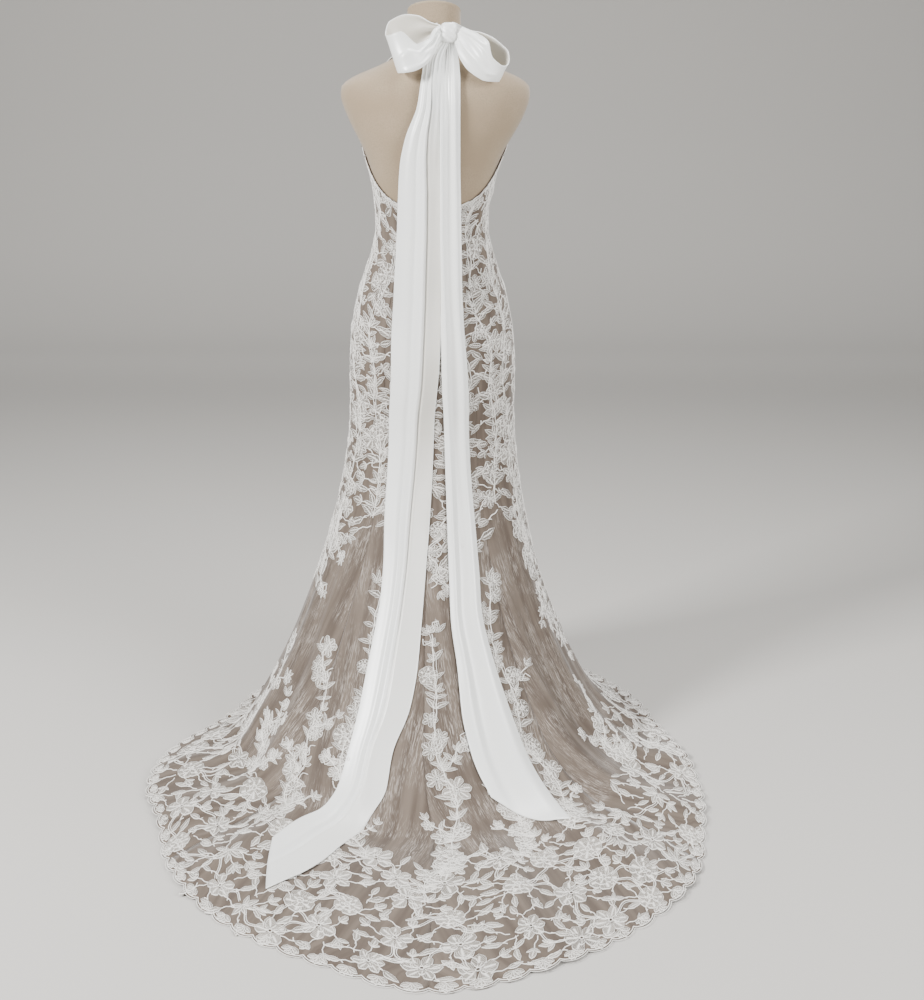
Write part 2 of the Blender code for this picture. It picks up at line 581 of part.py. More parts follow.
def build_tail(name, hang, lie, phase, finish, collection):
    across = np.linspace(0, 1, TAIL_POINTS)
    rows, ways = [], []
    for row in hang:
        x = row.left + (row.right - row.left) * across
        rows.append(np.stack([x, np.full(len(x), row.back), np.full(len(x), row.height)], axis=-1))
        ways.append(np.tile([0.0, -1.0, 0.0], (len(x), 1)))
    angle = np.array([row.left + (row.right - row.left) * across for row in lie])
    run = np.array([row.left_run + (row.right_run - row.left_run) * across for row in lie])
    low = gown_point(angle, run, outside(angle, run) + SATIN_CLEAR)
    low_ways = -out_of(gown_point, angle, run, (0.4, 0.01))
    rows, ways = np.concatenate([np.array(rows), low]), np.concatenate([np.array(ways), low_ways])
    for _ in range(2):
        smooth = ways.copy()
        smooth[1:-1] = ways[:-2] + 2 * ways[1:-1] + ways[2:]
        ways = smooth / np.linalg.norm(smooth, axis=-1, keepdims=True)
    place = np.linspace(0, 1, len(rows))[:, None]
    fold = 0.5 + 0.5 * np.cos(2 * np.pi * (across * (2.0 - 0.5 * place) + phase + 0.35 * np.sin(place * 5)))
    strength = TAIL_FOLD * (1 - 0.45 * place) * ease(0.0, 0.08, place)
    rows = laid_on(tree_of(collection), rows + ways * (strength * fold)[..., None], ways)
    cloth_solid(name, rows + ways * SATIN, rows, finish, collection)


def build_knot(finish, collection):
    turn = np.linspace(0, 2 * np.pi, 20, endpoint=False)
    rings = []
    for ring in KNOT:
        crease = 1 + 0.05 * np.cos(5 * turn + ring.height * 60)
        x = KNOT_AT[0] + ring.half_wide * crease * np.cos(turn) + ring.height * 0.12
        y = KNOT_AT[1] + ring.half_deep * crease * np.sin(turn)
        rings.append(np.stack([x, y, np.full(len(turn), KNOT_AT[2] + ring.height)], axis=-1))
    ring_solid("bow_knot", rings, finish, collection)


def build_loop(loop, finish, collection):
    """A band that leaves the knot, turns at its far end and comes back behind itself."""
    near, far = np.array(loop.near), np.array(loop.far)
    length = np.linalg.norm(far - near)
    away = (far - near) / length
    depth = np.cross(away, [0, 0, 1])
    depth *= -np.sign(depth[1]) / np.linalg.norm(depth)
    wide = np.cross(depth, away)
    wide *= np.sign(wide[2])
    turn = np.linspace(0, 2 * np.pi, LOOP_STATIONS + 1)
    share = (1 - np.cos(turn)) / 2
    swell = 1.3 * np.sin(turn) * share**0.6 * loop.belly + 0.0022 * np.cos(turn / 2)
    path = near + np.outer(share * length, away) + np.outer(swell, depth)
    heading = np.gradient(path, axis=0)
    heading /= np.linalg.norm(heading, axis=1, keepdims=True)
    half = loop.near_half + (loop.far_half - loop.near_half) * share + loop.bulge * np.sin(np.pi * share)
    tip = np.cos(loop.twist * share), np.sin(loop.twist * share)
    edge_way = tip[0][:, None] * wide + tip[1][:, None] * depth
    thick = np.cross(edge_way, heading)
    thick /= np.linalg.norm(thick, axis=1, keepdims=True)
    across = np.linspace(-1, 1, LOOP_POINTS)
    outer = path[:, None] + edge_way[:, None] * (half[:, None] * across)[..., None]
    ripple = 0.0016 * np.cos(across * 5.0 + 1.0) * np.sin(np.pi * share)[:, None] ** 0.5
    outer = outer + thick[:, None] * ripple[..., None]
    inner = outer + thick[:, None] * SATIN
    cloth_solid(loop.name, outer, inner, finish, collection)


def main():
    for old in list(bpy.data.objects):
        bpy.data.objects.remove(old)
    parts = new_collection("mermaid gown on a dress form")
    lace_cloth = material("nude lining under ivory lace tulle", (0.47, 0.39, 0.33), 0.75)
    satin = material("ivory satin", (0.78, 0.80, 0.77), 0.38)
    cover = material("beige linen cover", (0.51, 0.42, 0.31), 0.9)
    dark = material("dark painted metal", (0.035, 0.033, 0.032), 0.45, 0.6)
    build_gores(lace_cloth, parts)
    build_form(cover, dark, parts)
    for side, name, end in ((1, "halter_tie_right", TIE_END_RIGHT), (-1, "halter_tie_left", TIE_END_LEFT)):
        build_tie(name, TIE_FRONT + end, side, satin, parts)
    build_knot(satin, parts)
    build_tail("tail_right", TAIL_HANG_RIGHT, TAIL_LIE_RIGHT, 0.1, satin, parts)
    build_tail("tail_left", TAIL_HANG_LEFT, TAIL_LIE_LEFT, 0.45, satin, parts)
    for loop in LOOPS:
        build_loop(loop, satin, parts)


main()
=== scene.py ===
"""A lace mermaid gown with a satin sash, on a limbless dress form, as it stands with its train spread out."""

import math
from collections import namedtuple

import bpy
import numpy as np
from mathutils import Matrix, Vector
from mathutils.bvhtree import BVHTree


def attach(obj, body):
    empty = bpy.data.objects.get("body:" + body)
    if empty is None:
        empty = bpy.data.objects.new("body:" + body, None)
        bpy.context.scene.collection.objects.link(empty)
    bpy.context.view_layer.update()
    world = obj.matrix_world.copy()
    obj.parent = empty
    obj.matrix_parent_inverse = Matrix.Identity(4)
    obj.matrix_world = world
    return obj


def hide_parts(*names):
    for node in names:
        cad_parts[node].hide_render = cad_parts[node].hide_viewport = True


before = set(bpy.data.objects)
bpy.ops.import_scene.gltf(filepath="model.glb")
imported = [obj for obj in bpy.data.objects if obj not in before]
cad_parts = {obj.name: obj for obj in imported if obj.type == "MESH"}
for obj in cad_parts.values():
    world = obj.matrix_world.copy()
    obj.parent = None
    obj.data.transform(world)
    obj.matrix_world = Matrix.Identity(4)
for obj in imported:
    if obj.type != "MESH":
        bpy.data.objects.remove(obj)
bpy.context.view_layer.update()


# The dress form is a padded torso under a beige woven cover, with a slanted neck. It is one smooth body, held
# by the pole that goes up into it. Half widths and depths by height, as the gown is cut to them too.
Section = namedtuple("Section", "height side front back sway")
SECTIONS = [
    Section(0.660, 0.1660, 0.110, 0.125, -0.011),
    Section(0.720, 0.1660, 0.112, 0.130, -0.010),
    Section(0.800, 0.1655, 0.113, 0.134, -0.009),
    Section(0.864, 0.1615, 0.112, 0.130, -0.009),
    Section(0.905, 0.1545, 0.110, 0.122, -0.009),
    Section(0.946, 0.1455, 0.107, 0.111, -0.009),
    Section(0.987, 0.1315, 0.102, 0.098, -0.009),
    Section(1.027, 0.1185, 0.098, 0.088, -0.008),
    Section(1.070, 0.1095, 0.096, 0.083, -0.008),
    Section(1.107, 0.1095, 0.104, 0.087, -0.008),
    Section(1.146, 0.1160, 0.117, 0.096, -0.006),
    Section(1.185, 0.1245, 0.124, 0.105, -0.005),
    Section(1.224, 0.1390, 0.121, 0.112, -0.003),
    Section(1.262, 0.1600, 0.112, 0.114, -0.001),
    Section(1.300, 0.1780, 0.101, 0.112, 0.0),
    Section(1.330, 0.1860, 0.092, 0.108, 0.0),
    Section(1.345, 0.1840, 0.087, 0.104, 0.0),
    Section(1.362, 0.1640, 0.080, 0.097, 0.0),
    Section(1.378, 0.1260, 0.073, 0.088, 0.0),
    Section(1.395, 0.0880, 0.065, 0.077, 0.0),
    Section(1.415, 0.0600, 0.057, 0.064, -0.001),
    Section(1.445, 0.0530, 0.052, 0.055, -0.002),
    Section(1.480, 0.0520, 0.052, 0.053, -0.002),
]
NECK_BASE, NECK_TOP, NECK_TILT = 1.415, 1.480, 0.36
FORM_BOTTOM, THIGH_HEIGHT = 0.688, 0.70
SQUARENESS = 2.25
BUST_HEIGHT, BUST_TALL, BUST_PROUD = 1.178, 0.042, 0.014
BUST_ANGLE, BUST_WIDE = 150.0, 17.0


def curve_through(places, values, at):
    """A smooth curve through the points, with no overshoot."""
    places, values = np.asarray(places, float), np.asarray(values, float)
    at = np.clip(at, places[0], places[-1])
    steps = np.diff(places)
    slopes = np.diff(values) / steps
    before, after = slopes[:-1], slopes[1:]
    total = np.where(np.abs(before + after) < 1e-12, 1.0, before + after)
    inner = np.where(before * after > 0, 2 * before * after / total, 0.0)
    tangents = np.concatenate([slopes[:1], inner, slopes[-1:]])
    k = np.clip(np.searchsorted(places, at) - 1, 0, len(steps) - 1)
    t = (at - places[k]) / steps[k]
    rise = (3 - 2 * t) * t * t
    bend = steps[k] * (tangents[k] * t * (1 - t) ** 2 - tangents[k + 1] * t * t * (1 - t))
    return values[k] * (1 - rise) + values[k + 1] * rise + bend


def column(table, name):
    return [getattr(row, name) for row in table]


def section_value(name, height):
    return curve_through(column(SECTIONS, "height"), column(SECTIONS, name), height)


def signed(angle):
    return (np.asarray(angle, float) + 180) % 360 - 180


def ease(low, high, at):
    t = np.clip((at - low) / (high - low), 0, 1)
    return t * t * (3 - 2 * t)


def figure_radius(angle, height):
    turn = np.radians(angle)
    depth = np.where(np.cos(turn) > 0, section_value("back", height), section_value("front", height))
    across = np.abs(np.sin(turn)) / section_value("side", height)
    along = np.abs(np.cos(turn)) / depth
    radius = (across**SQUARENESS + along**SQUARENESS) ** (-1 / SQUARENESS)
    off_bust = (np.abs(signed(angle)) - BUST_ANGLE) / BUST_WIDE
    off_height = (height - BUST_HEIGHT) / BUST_TALL
    return radius + BUST_PROUD * np.exp(-(off_bust**2) - off_height**2)


def placed(angle, radius, height, sway):
    turn = np.radians(angle)
    point = np.empty(np.broadcast(angle, radius, height).shape + (3,))
    point[..., 0] = radius * np.sin(turn) + sway
    point[..., 1] = -radius * np.cos(turn)
    point[..., 2] = height
    return point


def figure_point(angle, height, out=0.0):
    point = placed(angle, figure_radius(angle, height) + out, height, section_value("sway", height))
    point[..., 2] -= ease(NECK_BASE, NECK_TOP, height) * NECK_TILT * point[..., 1]
    return point


def linear(code):
    """An sRGB colour such as c8b9a2 as linear light."""
    parts = [int(code[i : i + 2], 16) / 255 for i in (0, 2, 4)]
    return tuple(p / 12.92 if p <= 0.04045 else ((p + 0.055) / 1.055) ** 2.4 for p in parts) + (1.0,)


def add(tree, kind, settings=None, links=None):
    """A node with its settings and socket values, and its inputs linked from other nodes' outputs."""
    made = tree.nodes.new(kind)
    for name, value in (settings or {}).items():
        if isinstance(name, str) and hasattr(made, name) and name not in made.inputs:
            setattr(made, name, value)
        else:
            made.inputs[name].default_value = value
    for name, output in (links or {}).items():
        tree.links.new(output, made.inputs[name])
    return made


def ramp(tree, source, low, high):
    """0 below low, 1 above high and smooth between."""
    settings = {"interpolation_type": "SMOOTHSTEP", "From Min": low, "From Max": high}
    return add(tree, "ShaderNodeMapRange", settings, {"Value": source}).outputs["Result"]


def mixed(tree, share, first, second):
    """A colour between two, each a colour or another node's output."""
    made = add(tree, "ShaderNodeMix", {"data_type": "RGBA"}, {0: share})
    for socket, value in ((6, first), (7, second)):
        if isinstance(value, tuple):
            made.inputs[socket].default_value = value
        else:
            tree.links.new(value, made.inputs[socket])
    return made.outputs[2]


def cloth_material(name, roughness, sheen, sheen_roughness=0.4):
    made = bpy.data.materials.new(name)
    made.use_nodes = True
    shader = made.node_tree.nodes["Principled BSDF"]
    for socket, value in (("Roughness", roughness), ("Sheen Weight", sheen), ("Sheen Roughness", sheen_roughness)):
        shader.inputs[socket].default_value = value
    return made, made.node_tree, shader


def mesh_object(name, points, faces, material, smooth=True):
    mesh = bpy.data.meshes.new(name)
    mesh.from_pydata(np.asarray(points).tolist(), [], faces)
    mesh.materials.append(material)
    if smooth:
        mesh.shade_smooth()
    made = bpy.data.objects.new(name, mesh)
    bpy.context.scene.collection.objects.link(made)
    return made


def strip_faces(first, second):
    return [(first[i], first[i + 1], second[i + 1], second[i]) for i in range(len(first) - 1)]


def lengths(rows):
    """How far each point of a grid lies along its row from the middle, and down its column from the top."""
    across = np.linalg.norm(np.diff(rows, axis=1), axis=-1)
    across = np.concatenate([np.zeros((len(rows), 1)), np.cumsum(across, axis=1)], axis=1)
    across -= across[:, [rows.shape[1] // 2]]
    down = np.linalg.norm(np.diff(rows, axis=0), axis=-1)
    down = np.concatenate([np.zeros((1, rows.shape[1])), np.cumsum(down, axis=0)], axis=0)
    return across, down


def wall(name, outer, inner, material):
    """A thin closed wall between two grids of points. Its UV map is the cloth laid flat, in metres."""
    shape = outer.shape[:2]
    index = np.arange(2 * shape[0] * shape[1]).reshape(2, *shape)
    faces = []
    for i in range(shape[0] - 1):
        faces += strip_faces(index[0, i], index[0, i + 1])
        faces += strip_faces(index[1, i + 1], index[1, i])
    faces += strip_faces(index[1, 0], index[0, 0]) + strip_faces(index[0, -1], index[1, -1])
    faces += strip_faces(index[0, :, 0], index[1, :, 0]) + strip_faces(index[1, :, -1], index[0, :, -1])
    middle = shape[0] // 2
    way = np.cross(outer[middle, 1] - outer[middle, 0], outer[middle + 1, 0] - outer[middle, 0])
    if way @ (outer[middle, 0] - inner[middle, 0]) < 0:
        faces = [face[::-1] for face in faces]
    made = mesh_object(name, np.concatenate([outer.reshape(-1, 3), inner.reshape(-1, 3)]), faces, material)
    across, down = lengths(outer)
    flat = np.stack([across, -down], axis=-1).reshape(-1, 2)
    flat = np.concatenate([flat, flat])
    corners = np.empty(len(made.data.loops), np.int32)
    made.data.loops.foreach_get("vertex_index", corners)
    made.data.uv_layers.new(name="UVMap").data.foreach_set("uv", flat[corners].ravel())
    return made


linen, tree, shader = cloth_material("beige linen cover", 0.88, 0.35)
place = add(tree, "ShaderNodeTexCoord").outputs["Object"]
cloudy = add(tree, "ShaderNodeTexNoise", {"Scale": 14.0, "Detail": 3.0}, {"Vector": place}).outputs["Fac"]
slubs = add(tree, "ShaderNodeTexNoise", {"Scale": 420.0, "Detail": 2.0}, {"Vector": place}).outputs["Fac"]
tone = mixed(tree, ramp(tree, cloudy, 0.3, 0.7), linear("8d7b64"), linear("95846e"))
tone = mixed(tree, ramp(tree, slubs, 0.35, 0.75), tone, linear("897962"))
tree.links.new(tone, shader.inputs["Base Color"])
threads = []
for axis in ("X", "Z"):
    settings = {"wave_type": "BANDS", "bands_direction": axis, "Scale": 160.0, "Distortion": 1.2, "Detail Scale": 3.0}
    threads.append(add(tree, "ShaderNodeTexWave", settings, {"Vector": place}).outputs["Fac"])
weave = add(tree, "ShaderNodeMath", {"operation": "ADD"}, {0: threads[0], 1: threads[1]}).outputs[0]
bump = add(tree, "ShaderNodeBump", {"Strength": 0.25, "Distance": 0.0003}, {"Height": weave}).outputs["Normal"]
tree.links.new(bump, shader.inputs["Normal"])

angles = np.linspace(0, 360, 97)[:-1]
heights = np.concatenate([
    np.linspace(THIGH_HEIGHT, 1.30, 34), np.linspace(1.30, 1.40, 14)[1:], np.linspace(1.40, NECK_TOP, 12)[1:]
])
foot = figure_point(angles, np.full(len(angles), THIGH_HEIGHT), -0.006)
foot[:, 2] = FORM_BOTTOM
rings = [foot] + [figure_point(angles, np.full(len(angles), h), -0.0006) for h in heights]
count = len(angles)
around = np.arange(count + 1) % count
faces = []
for k in range(len(rings) - 1):
    faces += strip_faces(k * count + around, (k + 1) * count + around)
faces += [tuple(range(count))[::-1], tuple(range((len(rings) - 1) * count, len(rings) * count))]
form = mesh_object("form_torso", np.concatenate(rings), faces, linen)
edge = form.modifiers.new("cover", "EDGE_SPLIT")
edge.split_angle = math.radians(60)
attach(form, "root")
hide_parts("dress_form")


# The stand is painted metal: a thin cap on the neck in the cover's beige, and a dark round pole and flat round base.
metal, tree, shader = cloth_material("dark painted metal", 0.62, 0.0)
shader.inputs["Base Color"].default_value = linear("2b2826")
shader.inputs["Metallic"].default_value = 0.5
cap_paint, tree, shader = cloth_material("beige painted metal", 0.7, 0.0)
shader.inputs["Base Color"].default_value = linear("96866f")
for name, paint in (("neck_cap", cap_paint), ("stand_pole", metal), ("stand_base", metal)):
    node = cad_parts[name]
    node.data.materials.clear()
    node.data.materials.append(paint)
    soft_edge = node.modifiers.new("soft edge", "BEVEL")
    soft_edge.width, soft_edge.segments, soft_edge.limit_method = 0.0006, 2, "ANGLE"


# The gown is seven gores from the top edge to the hem, of nude lining under ivory tulle. It fits to the thigh,
# flares to the floor in soft flutes and lies on it as a train with low ripples. All of it follows these tables.
Edge = namedtuple("Edge", "angle height")
TOP_EDGE = [
    Edge(0, 1.121), Edge(28, 1.122), Edge(45, 1.133), Edge(60, 1.154), Edge(75, 1.184),
    Edge(90, 1.218), Edge(108, 1.246), Edge(126, 1.266), Edge(142, 1.280), Edge(156, 1.262),
    Edge(180, 1.205),
]
Hem = namedtuple("Hem", "angle touch reach")
HEM = [
    Hem(-180, 0.375, 0.400), Hem(-140, 0.385, 0.410), Hem(-110, 0.405, 0.430), Hem(-94, 0.415, 0.450),
    Hem(-84, 0.430, 0.490), Hem(-70, 0.455, 0.600), Hem(-58, 0.480, 0.668), Hem(-48, 0.500, 0.705),
    Hem(-36, 0.520, 0.800), Hem(-22, 0.540, 0.895), Hem(-11, 0.550, 0.950), Hem(0, 0.560, 1.008),
    Hem(11, 0.550, 0.968), Hem(22, 0.540, 0.905), Hem(32, 0.525, 0.840), Hem(46, 0.500, 0.705),
    Hem(58, 0.480, 0.615), Hem(66, 0.460, 0.565), Hem(76, 0.445, 0.505), Hem(86, 0.430, 0.468),
    Hem(98, 0.415, 0.450), Hem(120, 0.400, 0.425), Hem(150, 0.385, 0.410), Hem(180, 0.375, 0.400),
]
FLARE_START_OUT, FLARE_START_DROP, FLARE_END_SHARE, FLARE_SWAY = 0.009, 0.25, 0.59, -0.012
CLOTH, CLEAR, SEAM_GAP = 0.0020, 0.0005, 0.0003
Fold = namedtuple("Fold", "angle width flute ripple drift")
FOLDS = [
    Fold(-172, 11, 0.016, 0.002, 0), Fold(-141, 10, 0.020, 0.003, 3), Fold(-113, 10, 0.018, 0.003, 4),
    Fold(-88, 8, 0.020, 0.006, 6), Fold(-66, 7, 0.024, 0.010, 2), Fold(-44, 6, 0.020, 0.010, -3),
    Fold(-25, 5, 0.012, 0.008, -4), Fold(7, 4, 0.008, 0.009, 3), Fold(22, 5, 0.012, 0.011, 5),
    Fold(42, 6, 0.020, 0.012, 4), Fold(62, 7, 0.024, 0.012, 3), Fold(84, 8, 0.020, 0.006, -2),
    Fold(108, 10, 0.018, 0.003, -4), Fold(136, 10, 0.020, 0.003, -2), Fold(163, 10, 0.016, 0.002, 0),
]
# Shorter and softer creases between the flutes, each a low ridge from one run to another
Crease = namedtuple("Crease", "angle start end width height drift")
CREASES = [
    Crease(-178, 1.20, 1.86, 3.0, 0.0030, 1), Crease(-157, 1.32, 1.95, 3.4, 0.0036, -2),
    Crease(-127, 1.24, 1.80, 3.2, 0.0032, 2), Crease(-100, 1.36, 1.92, 2.8, 0.0040, 3),
    Crease(-95, 1.10, 1.50, 2.4, 0.0022, 2), Crease(-78, 1.30, 2.15, 2.6, 0.0042, 4),
    Crease(-58, 1.42, 2.40, 2.2, 0.0046, 2), Crease(-52, 1.16, 1.60, 1.9, 0.0028, 1),
    Crease(-36, 1.30, 2.20, 2.0, 0.0034, -2), Crease(-31, 1.80, 2.80, 2.4, 0.0044, -2),
    Crease(-15, 1.50, 2.30, 1.6, 0.0026, -2), Crease(-12, 2.10, 2.90, 2.2, 0.0040, -1),
    Crease(-4, 1.95, 2.60, 1.5, 0.0034, 1), Crease(3, 1.34, 1.85, 1.5, 0.0024, 1),
    Crease(13, 2.00, 2.90, 1.8, 0.0050, -4), Crease(16, 1.40, 1.95, 1.6, 0.0026, 2),
    Crease(29, 1.95, 2.75, 1.9, 0.0052, 2), Crease(33, 1.26, 1.80, 2.0, 0.0032, 3),
    Crease(38, 2.10, 2.85, 1.8, 0.0040, 0), Crease(52, 1.36, 2.30, 2.2, 0.0044, 1),
    Crease(57, 1.14, 1.55, 2.0, 0.0028, -1), Crease(73, 1.28, 2.10, 2.4, 0.0042, 2),
    Crease(92, 1.12, 1.62, 2.6, 0.0026, -3), Crease(97, 1.40, 1.95, 2.8, 0.0038, -2),
    Crease(121, 1.24, 1.84, 3.0, 0.0034, 2), Crease(148, 1.34, 1.92, 3.2, 0.0036, -1),
    Crease(172, 1.28, 1.84, 3.0, 0.0030, 1), Crease(-20, 2.45, 3.00, 2.0, 0.0038, 1),
    Crease(47, 2.40, 3.00, 2.2, 0.0044, 1), Crease(-46, 2.35, 3.00, 2.2, 0.0042, 0),
    Crease(6, 2.50, 3.00, 1.6, 0.0036, -1), Crease(-66, 2.30, 2.95, 2.6, 0.0036, 1),
    Crease(64, 2.30, 2.95, 2.6, 0.0040, 0), Crease(22, 2.60, 3.00, 1.7, 0.0034, 0),
]


def hem_value(name, angle):
    return curve_through(column(HEM, "angle"), column(HEM, name), signed(angle))


def top_edge(angle):
    return curve_through(column(TOP_EDGE, "angle"), column(TOP_EDGE, "height"), abs(signed(angle)))


def fold_height(angle, run):
    total = np.zeros(np.broadcast(angle, run).shape)
    on_flare = ease(1.15, 1.85, run) * (1 - ease(1.9, 2.3, run))
    on_train = ease(1.9, 2.3, run) * (1 - 0.45 * ease(2.6, 3.0, run))
    for fold in FOLDS:
        off = signed(angle - fold.angle - fold.drift * (run - 1)) / fold.width
        total = total + (fold.flute * on_flare + fold.ripple * on_train) * np.exp(-(off**2))
    for crease in CREASES:
        off = signed(angle - crease.angle - crease.drift * (run - crease.start)) / crease.width
        ends = ease(crease.start, crease.start + 0.18, run) * (1 - ease(crease.end - 0.18, crease.end + 0.02, run))
        total = total + crease.height * ends * np.exp(-(off**2))
    return total


def plain_point(angle, run, reach):
    angle, run = np.broadcast_arrays(np.asarray(angle, float), np.asarray(run, float))
    reach = hem_value("reach", angle) if reach is None else reach
    top = top_edge(angle)
    fitted_height = top + (THIGH_HEIGHT - top) * np.clip(run, 0, 1) ** 1.15
    fitted = placed(angle, figure_radius(angle, fitted_height), fitted_height, section_value("sway", fitted_height))
    start = figure_radius(angle, np.full(np.shape(angle), THIGH_HEIGHT))
    touch = hem_value("touch", angle)
    t = np.clip(run - 1, 0, 1)
    weights = (1 - t) ** 3, 3 * t * (1 - t) ** 2, 3 * t * t * (1 - t), t**3
    handle = start + FLARE_END_SHARE * (touch - start)
    radius = weights[0] * start + weights[1] * (start + FLARE_START_OUT) + weights[2] * handle + weights[3] * touch
    height = weights[0] * THIGH_HEIGHT + weights[1] * (THIGH_HEIGHT - FLARE_START_DROP)
    radius = radius + (reach - touch) * np.clip(run - 2, 0, 1)
    sway = section_value("sway", THIGH_HEIGHT) + FLARE_SWAY * ease(1.0, 1.5, run) * (1 - ease(1.8, 2.2, run))
    flared = placed(angle, radius, height, sway * (1 - ease(1.7, 2.0, run)))
    return np.where((run <= 1)[..., None], fitted, flared)


def gown_surface(angle, run, out=0.0, reach=None):
    """A point this far out from the cloth's inner face, folds included, and the way out there."""
    angle, run = np.broadcast_arrays(np.asarray(angle, float), np.asarray(run, float))
    bounded = np.clip(run, 0.0, 2.99)
    down = plain_point(angle, bounded + 0.004, reach) - plain_point(angle, bounded - 0.004, reach)
    across = plain_point(angle + 0.2, run, reach) - plain_point(angle - 0.2, run, reach)
    normal = np.cross(down, across)
    normal /= np.linalg.norm(normal, axis=-1, keepdims=True)
    rise = fold_height(angle, run) + out + CLEAR * (run < 2)
    return plain_point(angle, run, reach) + normal * rise[..., None], normal


Lace = namedtuple("Lace", "angle body_end band_start")
LACE_EDGES = [
    Lace(-180, 1.26, 1.72), Lace(-160, 1.40, 1.70), Lace(-140, 1.27, 1.76), Lace(-120, 1.42, 1.73),
    Lace(-100, 1.30, 1.80), Lace(-84, 1.41, 1.80), Lace(-64, 1.34, 1.86), Lace(-48, 1.27, 1.95),
    Lace(-34, 1.22, 2.05), Lace(-16, 1.27, 2.12), Lace(-2, 1.22, 2.18), Lace(7, 1.39, 2.10),
    Lace(16, 1.23, 2.20), Lace(26, 1.30, 2.12), Lace(40, 1.26, 2.05), Lace(53, 1.22, 1.95),
    Lace(64, 1.32, 1.90), Lace(80, 1.58, 1.80), Lace(98, 1.30, 1.82), Lace(120, 1.42, 1.74),
    Lace(140, 1.27, 1.76), Lace(160, 1.40, 1.70), Lace(180, 1.26, 1.72),
]


def lace_cover(angle, run):
    """1 where the tulle carries lace all over, 0 where it is open."""
    off = signed(angle)
    body_end = curve_through(column(LACE_EDGES, "angle"), column(LACE_EDGES, "body_end"), off)
    band_start = curve_through(column(LACE_EDGES, "angle"), column(LACE_EDGES, "band_start"), off)
    return np.maximum(1 - ease(body_end - 0.03, body_end + 0.03, run), ease(band_start - 0.05, band_start + 0.05, run))


# Tulle over lining: a nude ground, whitened by the net, with fine hairs of light where the net creases.
net, tree, shader = cloth_material("ivory tulle over nude lining", 0.8, 0.45, 0.35)
flat = add(tree, "ShaderNodeUVMap").outputs["UV"]
open_net = add(tree, "ShaderNodeAttribute", {"attribute_name": "open_net"}).outputs["Fac"]
hairs = []
for lean in (0.16, -0.22):
    settings = {"Rotation": (0.0, 0.0, lean), "Scale": (520.0, 34.0, 1.0)}
    stretched = add(tree, "ShaderNodeMapping", settings, {"Vector": flat}).outputs[0]
    settings = {"Scale": 1.0, "Detail": 1.0, "Distortion": 1.2}
    hairs.append(ramp(tree, add(tree, "ShaderNodeTexNoise", settings, {"Vector": stretched}).outputs["Fac"], 0.54, 0.72))
hairs = add(tree, "ShaderNodeMath", {"operation": "MAXIMUM"}, {0: hairs[0], 1: hairs[1]}).outputs[0]
patches = add(tree, "ShaderNodeTexNoise", {"Scale": 11.0, "Detail": 2.0}, {"Vector": flat}).outputs["Fac"]
patches = ramp(tree, patches, 0.36, 0.66)
hair_share = add(tree, "ShaderNodeMath", {"operation": "MULTIPLY"}, {0: hairs, 1: patches}).outputs[0]
hair_share = add(tree, "ShaderNodeMath", {"operation": "MULTIPLY"}, {0: hair_share, 1: open_net}).outputs[0]
broad = add(tree, "ShaderNodeMapping", {"Scale": (48.0, 3.2, 1.0)}, {"Vector": flat}).outputs[0]
layers = add(tree, "ShaderNodeTexNoise", {"Scale": 1.0, "Detail": 2.0}, {"Vector": broad}).outputs["Fac"]
ground = mixed(tree, ramp(tree, layers, 0.3, 0.72), linear("483c32"), linear("63574c"))
ground = mixed(tree, hair_share, ground, linear("9c938a"))
tree.links.new(ground, shader.inputs["Base Color"])
cells = add(tree, "ShaderNodeTexVoronoi", {"feature": "DISTANCE_TO_EDGE", "Scale": 700.0}, {"Vector": flat})
bump = add(tree, "ShaderNodeBump", {"Strength": 0.3, "Distance": 0.0002}, {"Height": cells.outputs["Distance"]})
ridges = add(tree, "ShaderNodeBump", {"Strength": 0.35, "Distance": 0.0012}, {"Height": layers, "Normal": bump.outputs[0]})
tree.links.new(ridges.outputs[0], shader.inputs["Normal"])

Gore = namedtuple("Gore", "name start end columns flat area")
GORES = [
    Gore("gore_back_right", 0, 38, 12, (0.72, 1.76), 0.41), Gore("gore_side_back_right", 38, 88, 14, (0.67, 1.54), 0.34),
    Gore("gore_side_front_right", 88, 142, 8, (0.45, 1.39), 0.285), Gore("gore_front", 142, 218, 12, (0.60, 1.40), 0.34),
    Gore("gore_side_front_left", 218, 272, 8, (0.45, 1.38), 0.275),
    Gore("gore_side_back_left", 272, 322, 14, (0.70, 1.53), 0.345), Gore("gore_back_left", 322, 360, 12, (0.70, 1.75), 0.40),
]
SCALLOP = 0.011


def hem_reach(angle):
    """The hem's distance from the axis, with one uneven scallop for each twelfth, eighth or so of a gore."""
    angle = np.asarray(angle, float)
    bulge = np.zeros(angle.shape)
    for gore in GORES:
        share = (angle % 360 - gore.start) / (gore.end - gore.start)
        inside = (share >= 0) & (share <= 1)
        bulge = np.where(inside, np.abs(np.sin(np.pi * share * gore.columns)) ** 0.7, bulge)
    uneven = 0.75 + 0.35 * np.sin(np.radians(angle) * 17.0) * np.cos(np.radians(angle) * 5.0)
    return hem_value("reach", angle) + SCALLOP * bulge * uneven


